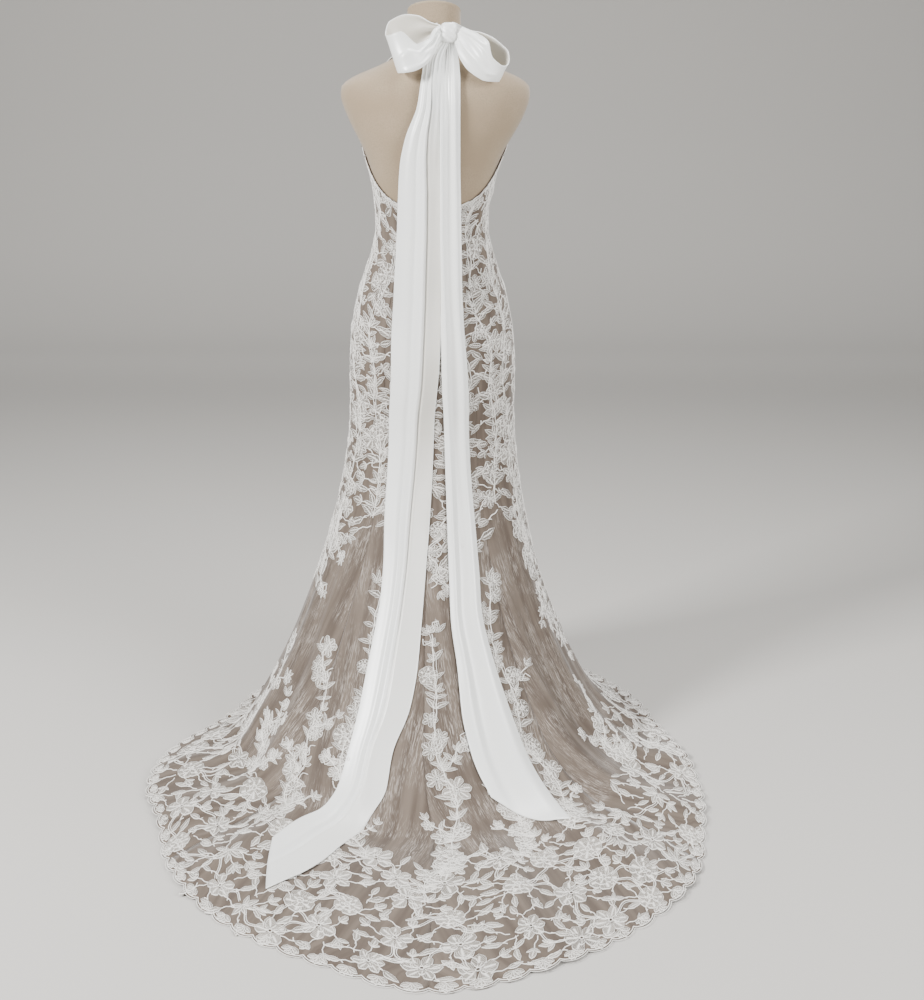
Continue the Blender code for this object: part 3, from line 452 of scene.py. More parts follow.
runs = np.concatenate([np.linspace(0, 1, 60), np.linspace(1, 2, 66)[1:], np.linspace(2, 3, 34)[1:]])
gown = {}
for gore in GORES:
    angles = np.linspace(gore.start, gore.end, gore.columns * 3 + 1)
    grid_angle, grid_run = np.meshgrid(angles, runs)
    reach = np.where(grid_run > 2.9, hem_reach(grid_angle), hem_value("reach", grid_angle))
    outer, _ = gown_surface(grid_angle, grid_run, CLOTH, reach)
    inner, _ = gown_surface(grid_angle, grid_run, 0.0004, reach)
    for grid in (outer, inner):
        for end, beside in ((0, 1), (-1, -2)):
            inward = grid[:, beside] - grid[:, end]
            grid[:, end] += inward / np.linalg.norm(inward, axis=-1, keepdims=True) * SEAM_GAP / 2
    cloth = wall("cloth_" + gore.name, outer, inner, net)
    share = np.tile(1 - lace_cover(grid_angle, grid_run).ravel(), 2)
    cloth.data.attributes.new("open_net", "FLOAT", "POINT").data.foreach_set("value", share)
    gown[gore.name] = cloth


# The lace is ivory and corded: petals and leaves of close thread on the tulle, each with a raised corded rim and
# joined by corded stems. It covers the gown to the knee and again round the hem, and sprays of it climb the
# open tulle between. Shapes are flat here, in metres from the middle of each motif, and then lie on the gown.
cord_white, tree, shader = cloth_material("ivory cord", 0.55, 0.3)
shader.inputs["Base Color"].default_value = linear("e3e0da")
petal_white, tree, shader = cloth_material("close ivory thread", 0.62, 0.35)
flat = add(tree, "ShaderNodeUVMap").outputs["UV"]
rim = add(tree, "ShaderNodeAttribute", {"attribute_name": "rim"}).outputs["Fac"]
split = add(tree, "ShaderNodeSeparateXYZ", {}, {"Vector": flat}).outputs
from_middle = add(tree, "ShaderNodeMath", {"operation": "ABSOLUTE"}, {0: split["X"]}).outputs[0]
slant = add(tree, "ShaderNodeMath", {"operation": "MULTIPLY_ADD", 1: -1.1}, {0: from_middle, 2: split["Y"]}).outputs[0]
leaned = add(tree, "ShaderNodeCombineXYZ", {}, {"X": slant, "Y": from_middle}).outputs[0]
settings = {"wave_type": "BANDS", "bands_direction": "X", "Scale": 62.0, "Distortion": 1.4, "Detail": 1.0, "Detail Scale": 1.5}
veins = ramp(tree, add(tree, "ShaderNodeTexWave", settings, {"Vector": leaned}).outputs["Fac"], 0.80, 0.98)
threads = add(tree, "ShaderNodeMapping", {"Scale": (420.0, 2600.0, 1.0)}, {"Vector": leaned}).outputs[0]
hatch = add(tree, "ShaderNodeTexNoise", {"Scale": 1.0, "Detail": 1.0}, {"Vector": threads}).outputs["Fac"]
thin = mixed(tree, ramp(tree, hatch, 0.35, 0.65), linear("433b32"), linear("5f574d"))
close = mixed(tree, ramp(tree, hatch, 0.35, 0.65), linear("746d64"), linear("a19b93"))
dense = add(tree, "ShaderNodeAttribute", {"attribute_name": "dense"}).outputs["Fac"]
tone = mixed(tree, dense, thin, close)
tone = mixed(tree, veins, tone, linear("b9b4ac"))
# Rims and veins turn the white cord colour; each rim's outer foot stays the darker field tone, a painted shadow outline
# round the raised rim
tone = mixed(tree, ramp(tree, rim, 0.62, 0.92), tone, linear("e7e4de"))
tree.links.new(tone, shader.inputs["Base Color"])
height = add(tree, "ShaderNodeMath", {"operation": "MULTIPLY_ADD", 1: 2.0}, {0: veins, 2: hatch}).outputs[0]
bump = add(tree, "ShaderNodeBump", {"Strength": 0.5, "Distance": 0.0003}, {"Height": height}).outputs[0]
tree.links.new(bump, shader.inputs["Normal"])
random = np.random.default_rng(11)
THREAD = {"edge": 0.00095, "vein": 0.00065, "stem": 0.00105, "fine": 0.0005}
RIM_WIDE, RIM_HIGH, FIELD_HIGH, SPINE_HIGH = 0.0009, 0.0017, 0.0005, 0.0012
Petal = namedtuple("Petal", "place out rim flat faces light", defaults=[0.0])
Cord = namedtuple("Cord", "place thickness out")


def turned(points, degrees):
    turn = math.radians(degrees)
    return np.asarray(points) @ np.array([[math.cos(turn), math.sin(turn)], [-math.sin(turn), math.cos(turn)]])


def cord(points, kind, degrees=0.0, foot=(0, 0), out=0.0006):
    place = turned(points, degrees) + foot
    return Cord(place, np.full(len(place), THREAD[kind]), np.full(len(place), out))


def petal(length, width, widest, roundness, degrees, foot=(0, 0), out=0.0, frill=0.0, bend=0.0, count=7):
    """A petal or leaf with a raised rim and middle vein. Its foot is at the foot, and it points this way."""
    s = np.linspace(0, 1, count)
    half = width / 2 * np.sin(np.pi * s**widest) ** roundness
    wave = 1 + frill * np.cos(s * 4.4 * np.pi + degrees)
    spine = np.stack([bend * length * s * s, s * length], axis=1)
    right, left = spine + np.outer(half * wave, [1, 0]), spine - np.outer(half * (2 - wave), [1, 0])
    ring = np.concatenate([right, left[-2:0:-1]])
    along = np.roll(ring, -1, axis=0) - np.roll(ring, 1, axis=0)
    outward = np.stack([along[:, 1], -along[:, 0]], axis=1) / np.linalg.norm(along, axis=1, keepdims=True)
    rings = [ring + outward * RIM_WIDE, ring, ring - outward * min(RIM_WIDE, width * 0.16)]
    place = np.concatenate(rings + [spine[1:-1]])
    around = len(ring)
    highs = (-0.0003, out + RIM_HIGH, out + FIELD_HIGH)
    high = np.concatenate([np.full(around, highs[0]), np.full(around, highs[1]), np.full(around, highs[2]),
                           np.full(count - 2, out + SPINE_HIGH)])
    # How white each ring shows: rim and middle vein are white cord, the inner foot has the field tone, and the rim's
    # outer foot has the darker field tone as a painted shadow outline
    rim_white_and_painted_shadow = np.concatenate([np.full(around, 0.6), np.ones(around), np.full(around, 0.1), np.full(count - 2, 0.9)])
    faces = []
    for k in range(2):
        a = k * around + np.arange(around + 1) % around
        faces += strip_faces(a, a + around)
    inner, middle = 2 * around, 3 * around
    rights = [inner + i for i in range(count)]
    lefts = [inner] + [inner + around - i for i in range(1, count - 1)] + [inner + count - 1]
    spines = [middle + i for i in range(count - 2)]
    for side, flip in ((rights, False), (lefts, True)):
        strip = [(side[0], side[1], spines[0]), (side[-2], side[-1], spines[-1])]
        strip += [(side[i + 1], side[i + 2], spines[i + 1], spines[i]) for i in range(count - 3)]
        faces += [face[::-1] for face in strip] if flip else strip
    return Petal(turned(place, degrees) + foot, high, rim_white_and_painted_shadow, place, faces)


def blossom(radius, petals, turn, pointed=True):
    """An open flower: outer petals that overlap, a second round inside and a ringed eye."""
    shapes = []
    for k in range(petals):
        degrees = turn + 360 * k / petals + random.uniform(-9, 9)
        length = radius * random.uniform(0.84, 1.08)
        wide = 5.0 / petals * radius * random.uniform(0.66, 0.84)
        foot = turned([[0, 0.15 * radius]], degrees)[0]
        shape = (1.15, 0.75) if pointed else (1.5, 0.55)
        shapes.append(petal(length * 0.92, wide, *shape, degrees, foot, 0.0003 * (k % 2), 0.10, random.uniform(-0.15, 0.15)))
    for k in range(3):
        degrees = turn + 40 + 120 * k + random.uniform(-14, 14)
        foot = turned([[0, 0.13 * radius]], degrees)[0]
        shapes.append(petal(radius * 0.42, radius * 0.34, 1.2, 0.7, degrees, foot, 0.0009, 0.0, 0.1, 6))
    ring = np.linspace(0, 2 * np.pi, 7)
    shapes.append(cord(radius * 0.13 * np.stack([np.cos(ring), np.sin(ring)], axis=1), "edge", 0, (0, 0), 0.0022))
    return shapes


def rose(radius, turn):
    """A rose seen from above: two rounds of wide lobes with curled cords in the middle."""
    shapes = []
    for k in range(5):
        degrees = turn + 72 * k + random.uniform(-8, 8)
        foot = turned([[0, 0.10 * radius]], degrees)[0]
        shapes.append(petal(radius * 0.92, radius * 1.02, 1.7, 0.5, degrees, foot, 0.0002 * (k % 2), 0.05))
    for k in range(3):
        degrees = turn + 30 + 120 * k + random.uniform(-10, 10)
        shapes.append(petal(radius * 0.60, radius * 0.74, 1.7, 0.5, degrees, (0, 0), 0.0008, 0.06, 0.1, 7))
    swing = np.linspace(0, 2.6 * np.pi, 13)
    spiral = radius * (0.07 + 0.24 * swing / swing[-1])
    shapes.append(cord(np.stack([spiral * np.cos(swing), spiral * np.sin(swing)], axis=1), "edge", turn, (0, 0), 0.0020))
    return shapes


def leaf(length, turn, bend=0.0, stalk=0.3):
    frill = 0.16 if length > 0.030 else 0.06
    shapes = [petal(length, length * random.uniform(0.30, 0.42), 0.85, 0.9, turn, (0, 0), 0.0, frill, bend)]
    line = np.array([[0, 0], [-bend * 0.2 * length, -0.5 * stalk * length], [-bend * length, -stalk * length]])
    return shapes + [cord(line, "stem", turn)]


def bud(length, turn):
    shapes = [petal(length, length * 0.5, 1.2, 0.6, turn, (0, 0), 0.0003)]
    for side in (-34, 34):
        shapes.append(petal(length * 0.6, length * 0.22, 0.9, 0.8, turn + side, (0, 0), 0.0, 0.0, -0.01 * side, 6))
    return shapes


def trio(length, turn):
    """Three pointed leaves from one place."""
    shapes = []
    for lean, size in ((-42, 0.82), (0, 1.0), (42, 0.82)):
        bend = random.uniform(-0.15, 0.15)
        shapes.append(petal(length * size, length * size * 0.36, 0.9, 0.9, turn + lean, (0, 0), 0.0, 0.12, bend, 6))
    return shapes


# How far down the cloth each run lies at each angle, so that shapes keep their size when they are laid on it
ANGLES, RUNS = np.linspace(-180, 180, 361), np.linspace(0, 3, 481)
column_points = plain_point(ANGLES[:, None], RUNS[None, :], None)
DOWN = np.concatenate([np.zeros((361, 1)), np.cumsum(np.linalg.norm(np.diff(column_points, axis=1), axis=-1), axis=1)], axis=1)


def column_of(angle):
    return int(round(float(signed(angle)) + 180)) % 360


def down_of(angle, run):
    return np.array([np.interp(r, RUNS, DOWN[column_of(a)]) for a, r in zip(np.atleast_1d(angle), np.atleast_1d(run))])


def run_of(angle, down):
    return np.array([np.interp(d, DOWN[column_of(a)], RUNS) for a, d in zip(np.atleast_1d(angle), np.atleast_1d(down))])


def wide_of(angle, run):
    """Metres of cloth for each degree."""
    return np.linalg.norm(plain_point(angle + 0.5, run, None) - plain_point(angle - 0.5, run, None), axis=-1)


def lies_at(angle, run, place):
    """The angle, run and distance past the hem of flat places round the middle of a motif."""
    wide, down = wide_of(np.array([angle]), np.array([run]))[0], down_of(angle, run)[0] - place[:, 1]
    lengths_down = DOWN[column_of(angle)]
    past = np.clip(down - lengths_down[-1], 0, None)
    return np.stack([angle + place[:, 0] / wide, np.interp(down, lengths_down, RUNS), past], axis=1)


motifs = []  # each one: angle, run and its flat shapes


def scattered(count, space, allowed, kept, room):
    """Places chosen in turn that lie in the allowed part and clear of each other and of the kept ones."""
    angle, run = random.uniform(-180, 180, count), random.uniform(0.01, 2.99, count)
    deep = np.array([np.interp(r + 0.02, RUNS, DOWN[column_of(a)]) - np.interp(r - 0.02, RUNS, DOWN[column_of(a)])
                     for a, r in zip(angle, run)]) / 0.04
    size = wide_of(angle, run) * deep
    fair = random.uniform(0, 1, count) < size / np.percentile(size, 97)
    angle, run = angle[fair], run[fair]
    ok = allowed(angle, run)
    angle, run = angle[ok], run[ok]
    point = plain_point(angle, run, None)
    chosen = []
    for k in range(len(angle)):
        near_kept = len(kept) and np.min(np.linalg.norm(kept - point[k], axis=1) - room) < 0
        if near_kept or chosen and np.min(np.linalg.norm(point[chosen] - point[k], axis=1)) < space:
            continue
        chosen.append(k)
    return angle[chosen], run[chosen], point[chosen]


def laced(border):
    def inside(angle, run):
        down, whole = down_of(angle, run), np.array([DOWN[column_of(a)][-1] for a in angle])
        return (lace_cover(angle, run) > 0.5) & (down > border * 0.7) & (whole - down > border)
    return inside


def heading_from(angle, run, near_angle, near_run):
    """Which way a shape at this place points when it points away from the near place, in degrees."""
    x = signed(angle - near_angle) * wide_of(np.array([angle]), np.array([run]))[0]
    y = down_of(near_angle, near_run)[0] - down_of(near_angle, run)[0]
    return math.degrees(math.atan2(-x, y))


def vine(foot, tip, sway, phase, size, tapered):
    """A branch from (angle, run) to (angle, run): two cords that cross, with flowers and leaves left and right."""
    s = np.linspace(0, 1, 121)
    angle = foot[0] + (tip[0] - foot[0]) * s
    run = foot[1] + (tip[1] - foot[1]) * s
    wander = np.sin(np.pi * (2.1 * s + 0.3 * phase)) + 0.45 * np.sin(np.pi * (6.3 * s + phase))
    angle = angle + sway * wander / wide_of(angle, run)
    point = plain_point(angle, run, None)
    along = np.concatenate([[0], np.cumsum(np.linalg.norm(np.diff(point, axis=0), axis=1))])
    length = along[-1]
    line = np.arange(0, length, 0.0065)
    for kind, part in (("stem", 0.0), ("vein", 1.0)):
        apart = 0.0030 * np.cos(np.pi * (part + line / 0.085)) + 0.0009 * np.sin(line / 0.006 + phase)
        line_angle, line_run = np.interp(line, along, angle), np.interp(line, along, run)
        line_angle = line_angle + apart / wide_of(line_angle, line_run)
        strands.append(np.stack([line_angle, line_run, 0 * line], axis=1))
        strand_kinds.append(kind)
    stop, turn = 0.004, int(phase) % 2
    while stop < length:
        a, r = np.interp(stop, along, angle), np.interp(stop, along, run)
        ahead = min(stop + 0.02, length)
        heading = heading_from(np.interp(ahead, along, angle), np.interp(ahead, along, run), a, r)
        grown = size * (1 - 0.35 * tapered * stop / length) * random.uniform(0.82, 1.18)
        side = 1 - 2 * turn
        lean = heading - side * random.uniform(28, 66)
        kind = random.uniform()
        if kind < 0.42:
            reach = random.uniform(0.014, 0.022) * grown
            foot_at = turned([[0, reach]], lean)[0]
            radius = random.uniform(0.020, 0.028) * grown
            shapes = rose(radius * 0.9, lean) if kind < 0.14 else blossom(radius, 5 + int(kind * 50) % 2, lean, kind < 0.3)
            shapes = [shape._replace(place=shape.place + foot_at) for shape in shapes]
            shapes.append(cord([[0, 0], [0.0015, 0.4 * reach], [0, reach]], "stem", lean))
            motifs.append((a, r, shapes))
            gap = 0.036
        elif kind < 0.72:
            shapes = trio(random.uniform(0.026, 0.036) * grown, lean)
            motifs.append((a, r, shapes))
            gap = 0.026
        else:
            motifs.append((a, r, leaf(random.uniform(0.030, 0.042) * grown, lean, 0.3 * side, 0.0)))
            gap = 0.020
        if random.uniform() < 0.85:
            back = heading + side * random.uniform(22, 62)
            motifs.append((a, r, leaf(random.uniform(0.024, 0.042) * grown, back, -0.3 * side, 0.0)))
        if random.uniform() < 0.25:
            again = heading - side * random.uniform(5, 35)
            motifs.append((a, r, leaf(random.uniform(0.020, 0.034) * grown, again, 0.2 * side, 0.0)))
        if random.uniform() < 0.35:
            tendril = np.linspace(0, 1, 8)[:, None]
            path = np.concatenate([0.006 * np.sin(tendril * 7.0), 0.042 * grown * tendril], axis=1)
            motifs.append((a, r, [cord(path, "stem", heading + side * random.uniform(20, 55))]))
        stop += gap * random.uniform(0.75, 1.1)
        turn = 1 - turn if random.uniform() < 0.8 else turn
    motifs.append((tip[0], tip[1], trio(0.026 * size, heading)))
    return angle, run


strands, strand_kinds = [], []
# The body is covered by upright branches, side by side, from the top edge to the border below the knee
number = 0
for start in np.arange(-180, 180, 22.5):
    middle = start + random.uniform(-2.5, 2.5)
    low = float(curve_through(column(LACE_EDGES, "angle"), column(LACE_EDGES, "body_end"), signed(middle))) - 0.03
    vine((middle, low), (middle * 0.985, 0.05), 0.015, number * 1.37, 0.92, 0.30)
    number += 1
# Branching sprays on the open tulle climb from the lace of the hem, and a few short ones hang from the body's
Spray = namedtuple("Spray", "foot_angle foot_run tip_angle tip_run size")
SPRAYS = [
    Spray(-13, 2.20, -27, 1.36, 1.05), Spray(-31, 2.10, -42, 1.52, 1.0), Spray(0, 2.45, 6, 1.45, 1.05),
    Spray(27, 2.15, 36, 1.36, 1.05), Spray(-52, 1.98, -56, 1.66, 0.9), Spray(58, 2.00, 66, 1.66, 0.9),
    Spray(-70, 1.90, -76, 1.56, 1.0), Spray(14, 2.30, 20, 1.80, 0.9),
    Spray(66, 1.22, 78, 1.60, 0.9), Spray(7, 1.20, 7, 1.37, 0.8), Spray(-66, 1.20, -84, 1.40, 0.9),
    Spray(-112, 1.78, -106, 1.46, 1.0), Spray(-150, 1.72, -146, 1.42, 1.0),
    Spray(150, 1.72, 146, 1.42, 1.0), Spray(112, 1.78, 106, 1.46, 1.0), Spray(178, 1.74, 176, 1.44, 1.0),
]
TWIG, TWIGS = 0.055, ((0.22, 1), (0.48, -1), (0.70, 1))
for spray in SPRAYS:
    foot, tip = (spray.foot_angle, spray.foot_run), (spray.tip_angle, spray.tip_run)
    angle, run = vine(foot, tip, 0.017, number * 1.37, spray.size, 1.0)
    number += 1
    if abs(spray.foot_angle) > 80:
        continue
    for share, side in TWIGS:
        a, r = angle[int(share * 120)], run[int(share * 120)]
        beside = a + side * random.uniform(0.7, 1.1) * TWIG / wide_of(np.array([a]), np.array([r]))[0]
        ahead = down_of(a, r) + TWIG * random.uniform(0.6, 1.1) * np.sign(tip[1] - foot[1])
        vine((a, r), (beside, run_of(beside, ahead)[0]), 0.004, number + share, 0.72, 1.0)

# Large flowers lie along the hem, with leaves round them and stems between
on_hem = laced(0.026)
flower_angle, flower_run, flower_point = scattered(
    16000, 0.074, lambda a, r: on_hem(a, r) & (r > 1.5), np.empty((0, 3)), np.empty(0))
for k, (a, r) in enumerate(zip(flower_angle, flower_run)):
    size = random.uniform(0.028, 0.035)
    kind = random.integers(0, 6)
    if kind < 2:
        motifs.append((a, r, blossom(size, 5 + kind % 2, random.uniform(0, 360))))
    elif kind == 2:
        motifs.append((a, r, blossom(size, 5, random.uniform(0, 360), False)))
    elif kind < 5:
        motifs.append((a, r, rose(size * 0.95, random.uniform(0, 360))))
    else:
        motifs.append((a, r, trio(size * 1.2, random.uniform(-60, 60)) + trio(size * 1.2, random.uniform(120, 240))))
taken = np.array([plain_point(a, r, None) for a, r, _ in motifs])
room = np.full(len(taken), 0.0185)
room[len(taken) - len(flower_point) :] = 0.034
leaf_angle, leaf_run, leaf_point = scattered(42000, 0.0235, laced(0.012), taken, room)
for a, r, p in zip(leaf_angle, leaf_run, leaf_point):
    gap = np.linalg.norm(taken - p, axis=1)
    near = int(np.argmin(gap))
    away = heading_from(a, r, motifs[near][0], motifs[near][1]) + random.uniform(-35, 35)
    kind = random.uniform()
    tail = min(float(gap[near]) * 0.8, 0.03)
    if kind < 0.66:
        shapes = leaf(random.uniform(0.026, 0.038), away, random.uniform(-0.3, 0.3), 0.2)
    elif kind < 0.82:
        shapes = bud(random.uniform(0.019, 0.026), away)
    else:
        shapes = trio(random.uniform(0.022, 0.030), away)
    stalk = np.array([[0, 0], [0.0020, -0.35 * tail], [-0.0015, -0.7 * tail], [0, -tail]])
    motifs.append((a, r, shapes + [cord(stalk, "stem", away)]))

# Stems run in pairs from each flower of the hem to its nearest neighbours
for k in range(len(flower_point)):
    gap = np.linalg.norm(flower_point - flower_point[k], axis=1)
    for near in np.argsort(gap)[1:4]:
        if near > k and gap[near] < 0.125:
            x = signed(flower_angle[near] - flower_angle[k]) * wide_of(flower_angle[k : k + 1], flower_run[k : k + 1])[0]
            y = down_of(flower_angle[k], flower_run[k])[0] - down_of(flower_angle[k], flower_run[near])[0]
            s = np.linspace(0.18, 0.82, 9)[:, None]
            side = np.array([[-y, x]])
            bow = side * 0.18 * random.choice([-1, 1])
            path = s * np.array([[x, y]]) + np.sin(np.pi * s) * bow + np.sin(3 * np.pi * s) * side * 0.05
            beside = side / np.linalg.norm(side) * 0.0021
            motifs.append((flower_angle[k], flower_run[k], [cord(path - beside, "stem"), cord(path + beside, "vein")]))

# The scalloped edge: a fan of pointed leaves in each scallop, and a pair of cords along it
for gore in GORES:
    for k in range(gore.columns):
        middle = gore.start + (gore.end - gore.start) * (k + 0.5) / gore.columns
        wide = wide_of(np.array([middle]), np.array([3.0]))[0] * (gore.end - gore.start) / gore.columns
        shapes = []
        for lean in (-62, -30, 0, 30, 62):
            length = min(0.42 * wide, 0.024) * random.uniform(0.8, 1.0)
            shapes.append(petal(length, length * 0.5, 1.1, 0.7, 180 + lean + random.uniform(-6, 6), (0, 0), 0.0002, 0.1, 0.0, 6))
        motifs.append((middle, run_of(middle, DOWN[column_of(middle)][-1] - 0.013)[0], shapes))
        line = np.linspace(-0.5, 0.5, 9)
        for drop, kind in ((0.004, "edge"), (-0.001, "vein")):
            path = np.stack([line * wide, -0.010 * np.cos(np.pi * line) ** 0.7 + drop], axis=1)
            motifs.append((middle, 3.0, [cord(path, kind, 0, (0, 0), 0.0005)]))

cords, petals = {gore.name: [] for gore in GORES}, {gore.name: [] for gore in GORES}
for a, r, shapes in motifs:
    home = next(gore.name for gore in GORES if gore.start <= a % 360 <= gore.end)
    lightness = random.uniform(-0.30, 0.50)
    for shape in shapes:
        laid = shape._replace(place=lies_at(a, r, shape.place))
        if isinstance(shape, Cord):
            cords[home].append(laid)
        else:
            petals[home].append(laid._replace(light=lightness + random.uniform(-0.1, 0.1)))
for strand, kind in zip(strands, strand_kinds):
    owner = np.array([next(k for k, gore in enumerate(GORES) if gore.start <= a % 360 <= gore.end) for a in strand[:, 0]])
    for part in np.split(strand, np.flatnonzero(np.diff(owner)) + 1):
        if len(part) > 2:
            home = next(gore.name for gore in GORES if gore.start <= part[1, 0] % 360 <= gore.end)
            cords[home].append(Cord(part, np.full(len(part), THREAD[kind]), np.full(len(part), 0.0009)))

# Cords and small leaves along the top edge
for gore in GORES:
    fine = np.linspace(gore.start, gore.end, int((gore.end - gore.start) * 1.2))
    for run_at, kind in ((0.006, "edge"), (0.020, "vein")):
        wave = run_at + 0.006 * np.abs(np.sin(np.radians(fine) * 18))
        place = np.stack([fine, wave, 0 * fine], axis=1)
        cords[gore.name].append(Cord(place, np.full(len(fine), THREAD[kind]), np.full(len(fine), 0.0008)))
    for a in np.arange(gore.start + 2, gore.end, 5.5):
        lean = 180 + random.uniform(-40, 40)
        shape = petal(random.uniform(0.013, 0.019), 0.008, 0.9, 0.8, lean, (0, 0), 0.0002, 0.0, 0.0, 6)
        petals[gore.name].append(shape._replace(place=lies_at(a, 0.02, shape.place)))


def on_gown(place, out):
    """Points this far out from the cloth. Past the hem they lie straight on, as high as the hem does."""
    reach = hem_value("reach", place[:, 0]) + place[:, 2]
    return gown_surface(place[:, 0], np.clip(place[:, 1], 0.0, 3.0), CLOTH + out, reach)[0]


group = bpy.data.node_groups.new("corded thread", "GeometryNodeTree")
group.interface.new_socket("Geometry", in_out="INPUT", socket_type="NodeSocketGeometry")
sides_socket = group.interface.new_socket("Sides", in_out="INPUT", socket_type="NodeSocketInt")
cord_socket = group.interface.new_socket("Cord", in_out="INPUT", socket_type="NodeSocketMaterial")
group.interface.new_socket("Geometry", in_out="OUTPUT", socket_type="NodeSocketGeometry")
given = add(group, "NodeGroupInput").outputs
curve = add(group, "GeometryNodeMeshToCurve", {}, {"Mesh": given["Geometry"]}).outputs["Curve"]
thickness = add(group, "GeometryNodeInputNamedAttribute", {"data_type": "FLOAT", "Name": "thickness"}).outputs["Attribute"]
curve = add(group, "GeometryNodeSetCurveRadius", {}, {"Curve": curve, "Radius": thickness}).outputs["Curve"]
profile = add(group, "GeometryNodeCurvePrimitiveCircle", {"Radius": 1.0}, {"Resolution": given["Sides"]}).outputs["Curve"]
tube = add(group, "GeometryNodeCurveToMesh", {"Fill Caps": True}, {"Curve": curve, "Profile Curve": profile})
if "Scale" in tube.inputs:
    group.links.new(thickness, tube.inputs["Scale"])
smooth = add(group, "GeometryNodeSetShadeSmooth", {}, {"Geometry": tube.outputs["Mesh"]}).outputs[0]
real = add(group, "GeometryNodeRealizeInstances", {}, {"Geometry": smooth}).outputs[0]
dressed = add(group, "GeometryNodeSetMaterial", {}, {"Geometry": real, "Material": given["Cord"]}).outputs[0]
group.links.new(dressed, add(group, "NodeGroupOutput").inputs["Geometry"])


def corded(name, chains, material, sides=4):
    """One mesh of round threads, through chains of (points, thickness)."""
    points, edges, thick = [], [], []
    for chain, thickness in chains:
        first = len(points)
        points += chain.tolist()
        edges += [(first + i, first + i + 1) for i in range(len(chain) - 1)]
        thick += list(thickness)
    mesh = bpy.data.meshes.new(name)
    mesh.from_pydata(points, edges, [])
    mesh.attributes.new("thickness", "FLOAT", "POINT").data.foreach_set("value", thick)
    made = bpy.data.objects.new(name, mesh)
    bpy.context.scene.collection.objects.link(made)
    nodes = made.modifiers.new("cords", "NODES")
    nodes.node_group = group
    nodes[sides_socket.identifier] = sides
    nodes[cord_socket.identifier] = material
    bpy.context.view_layer.update()
    plain = bpy.data.meshes.new_from_object(made.evaluated_get(bpy.context.evaluated_depsgraph_get()))
    made.modifiers.clear()
    made.data = plain
    return made


for gore in GORES:
    shapes = cords[gore.name]
    point = on_gown(np.concatenate([shape.place for shape in shapes]), np.concatenate([shape.out for shape in shapes]))
    stops = np.cumsum([len(shape.place) for shape in shapes])[:-1]
    chains = list(zip(np.split(point, stops), [shape.thickness for shape in shapes]))
    lace = corded("lace_cords_" + gore.name, chains, cord_white)

    shapes = petals[gore.name]
    point = on_gown(np.concatenate([shape.place for shape in shapes]), np.concatenate([shape.out for shape in shapes]))
    firsts = np.concatenate([[0], np.cumsum([len(shape.place) for shape in shapes])])
    faces = [tuple(int(first) + i for i in face) for first, shape in zip(firsts, shapes) for face in shape.faces]
    close_work = mesh_object("lace_petals_" + gore.name, point, faces, petal_white)
    # White cord on rims and veins, with a painted shadow outline at each rim's outer foot
    rim_white_and_painted_shadow = np.concatenate([shape.rim for shape in shapes])
    close_work.data.attributes.new("rim", "FLOAT", "POINT").data.foreach_set("value", rim_white_and_painted_shadow)
    dense = np.concatenate([0.65 * ease(1.3, 2.1, shape.place[:, 1]) + shape.light for shape in shapes])
    close_work.data.attributes.new("dense", "FLOAT", "POINT").data.foreach_set("value", dense)
    corners = np.empty(len(close_work.data.loops), np.int32)
    close_work.data.loops.foreach_get("vertex_index", corners)
    flat = np.concatenate([shape.flat for shape in shapes])
    close_work.data.uv_layers.new(name="UVMap").data.foreach_set("uv", flat[corners].ravel())

    cloth = gown[gore.name]
    for piece in (cloth, lace, close_work):
        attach(piece, "root")
    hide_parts(gore.name)


# The sash is ivory satin: a band from each side of the front's top edge over the shoulder to the nape, tied there
# in a bow whose two long tails hang down the back and lie on the train. Its edges are narrow rolled hems.
SATIN, SATIN_CLEAR = 0.0014, 0.0005
satin, tree, shader = cloth_material("ivory satin", 0.38, 0.10, 0.3)
flat = add(tree, "ShaderNodeUVMap").outputs["UV"]
dull_side_and_painted_shade = add(tree, "ShaderNodeAttribute", {"attribute_name": "dull_side_and_painted_shade"}).outputs["Fac"]
# The base colour turns greyer on the dull inner face, and on outer faces where the tails carry painted shade
tree.links.new(mixed(tree, dull_side_and_painted_shade, linear("e8e9e6"), linear("cac5b9")), shader.inputs["Base Color"])
shader.inputs["IOR"].default_value = 1.9
stretched = add(tree, "ShaderNodeMapping", {"Scale": (90.0, 9.0, 1.0)}, {"Vector": flat}).outputs[0]
soft_rows = add(tree, "ShaderNodeTexNoise", {"Scale": 1.0, "Detail": 2.0}, {"Vector": stretched}).outputs["Fac"]
broad = add(tree, "ShaderNodeBump", {"Strength": 0.25, "Distance": 0.0010}, {"Height": soft_rows}).outputs[0]
settings = {"wave_type": "BANDS", "bands_direction": "DIAGONAL", "Scale": 900.0, "Distortion": 0.4}
twill = add(tree, "ShaderNodeTexWave", settings, {"Vector": flat}).outputs["Fac"]
fine = add(tree, "ShaderNodeBump", {"Strength": 0.08, "Distance": 0.0001}, {"Height": twill, "Normal": broad}).outputs[0]
tree.links.new(fine, shader.inputs["Normal"])

shells = [form] + list(gown.values())
points, faces = [], []
for shell in shells:
    first = len(points)
    points += [corner.co.copy() for corner in shell.data.vertices]
    faces += [[first + i for i in face.vertices] for face in shell.data.polygons]
under = BVHTree.FromPolygons(points, faces)


def resampled(rows, count):
    """More rows by a smooth curve through the given ones, along the length."""
    rows = np.asarray(rows, float)
    place, at = np.arange(len(rows)), np.linspace(0, len(rows) - 1, count)
    columns = rows.reshape(len(rows), -1)
    made = np.stack([curve_through(place, columns[:, k], at) for k in range(columns.shape[1])], axis=1)
    return made.reshape((count,) + rows.shape[1:])


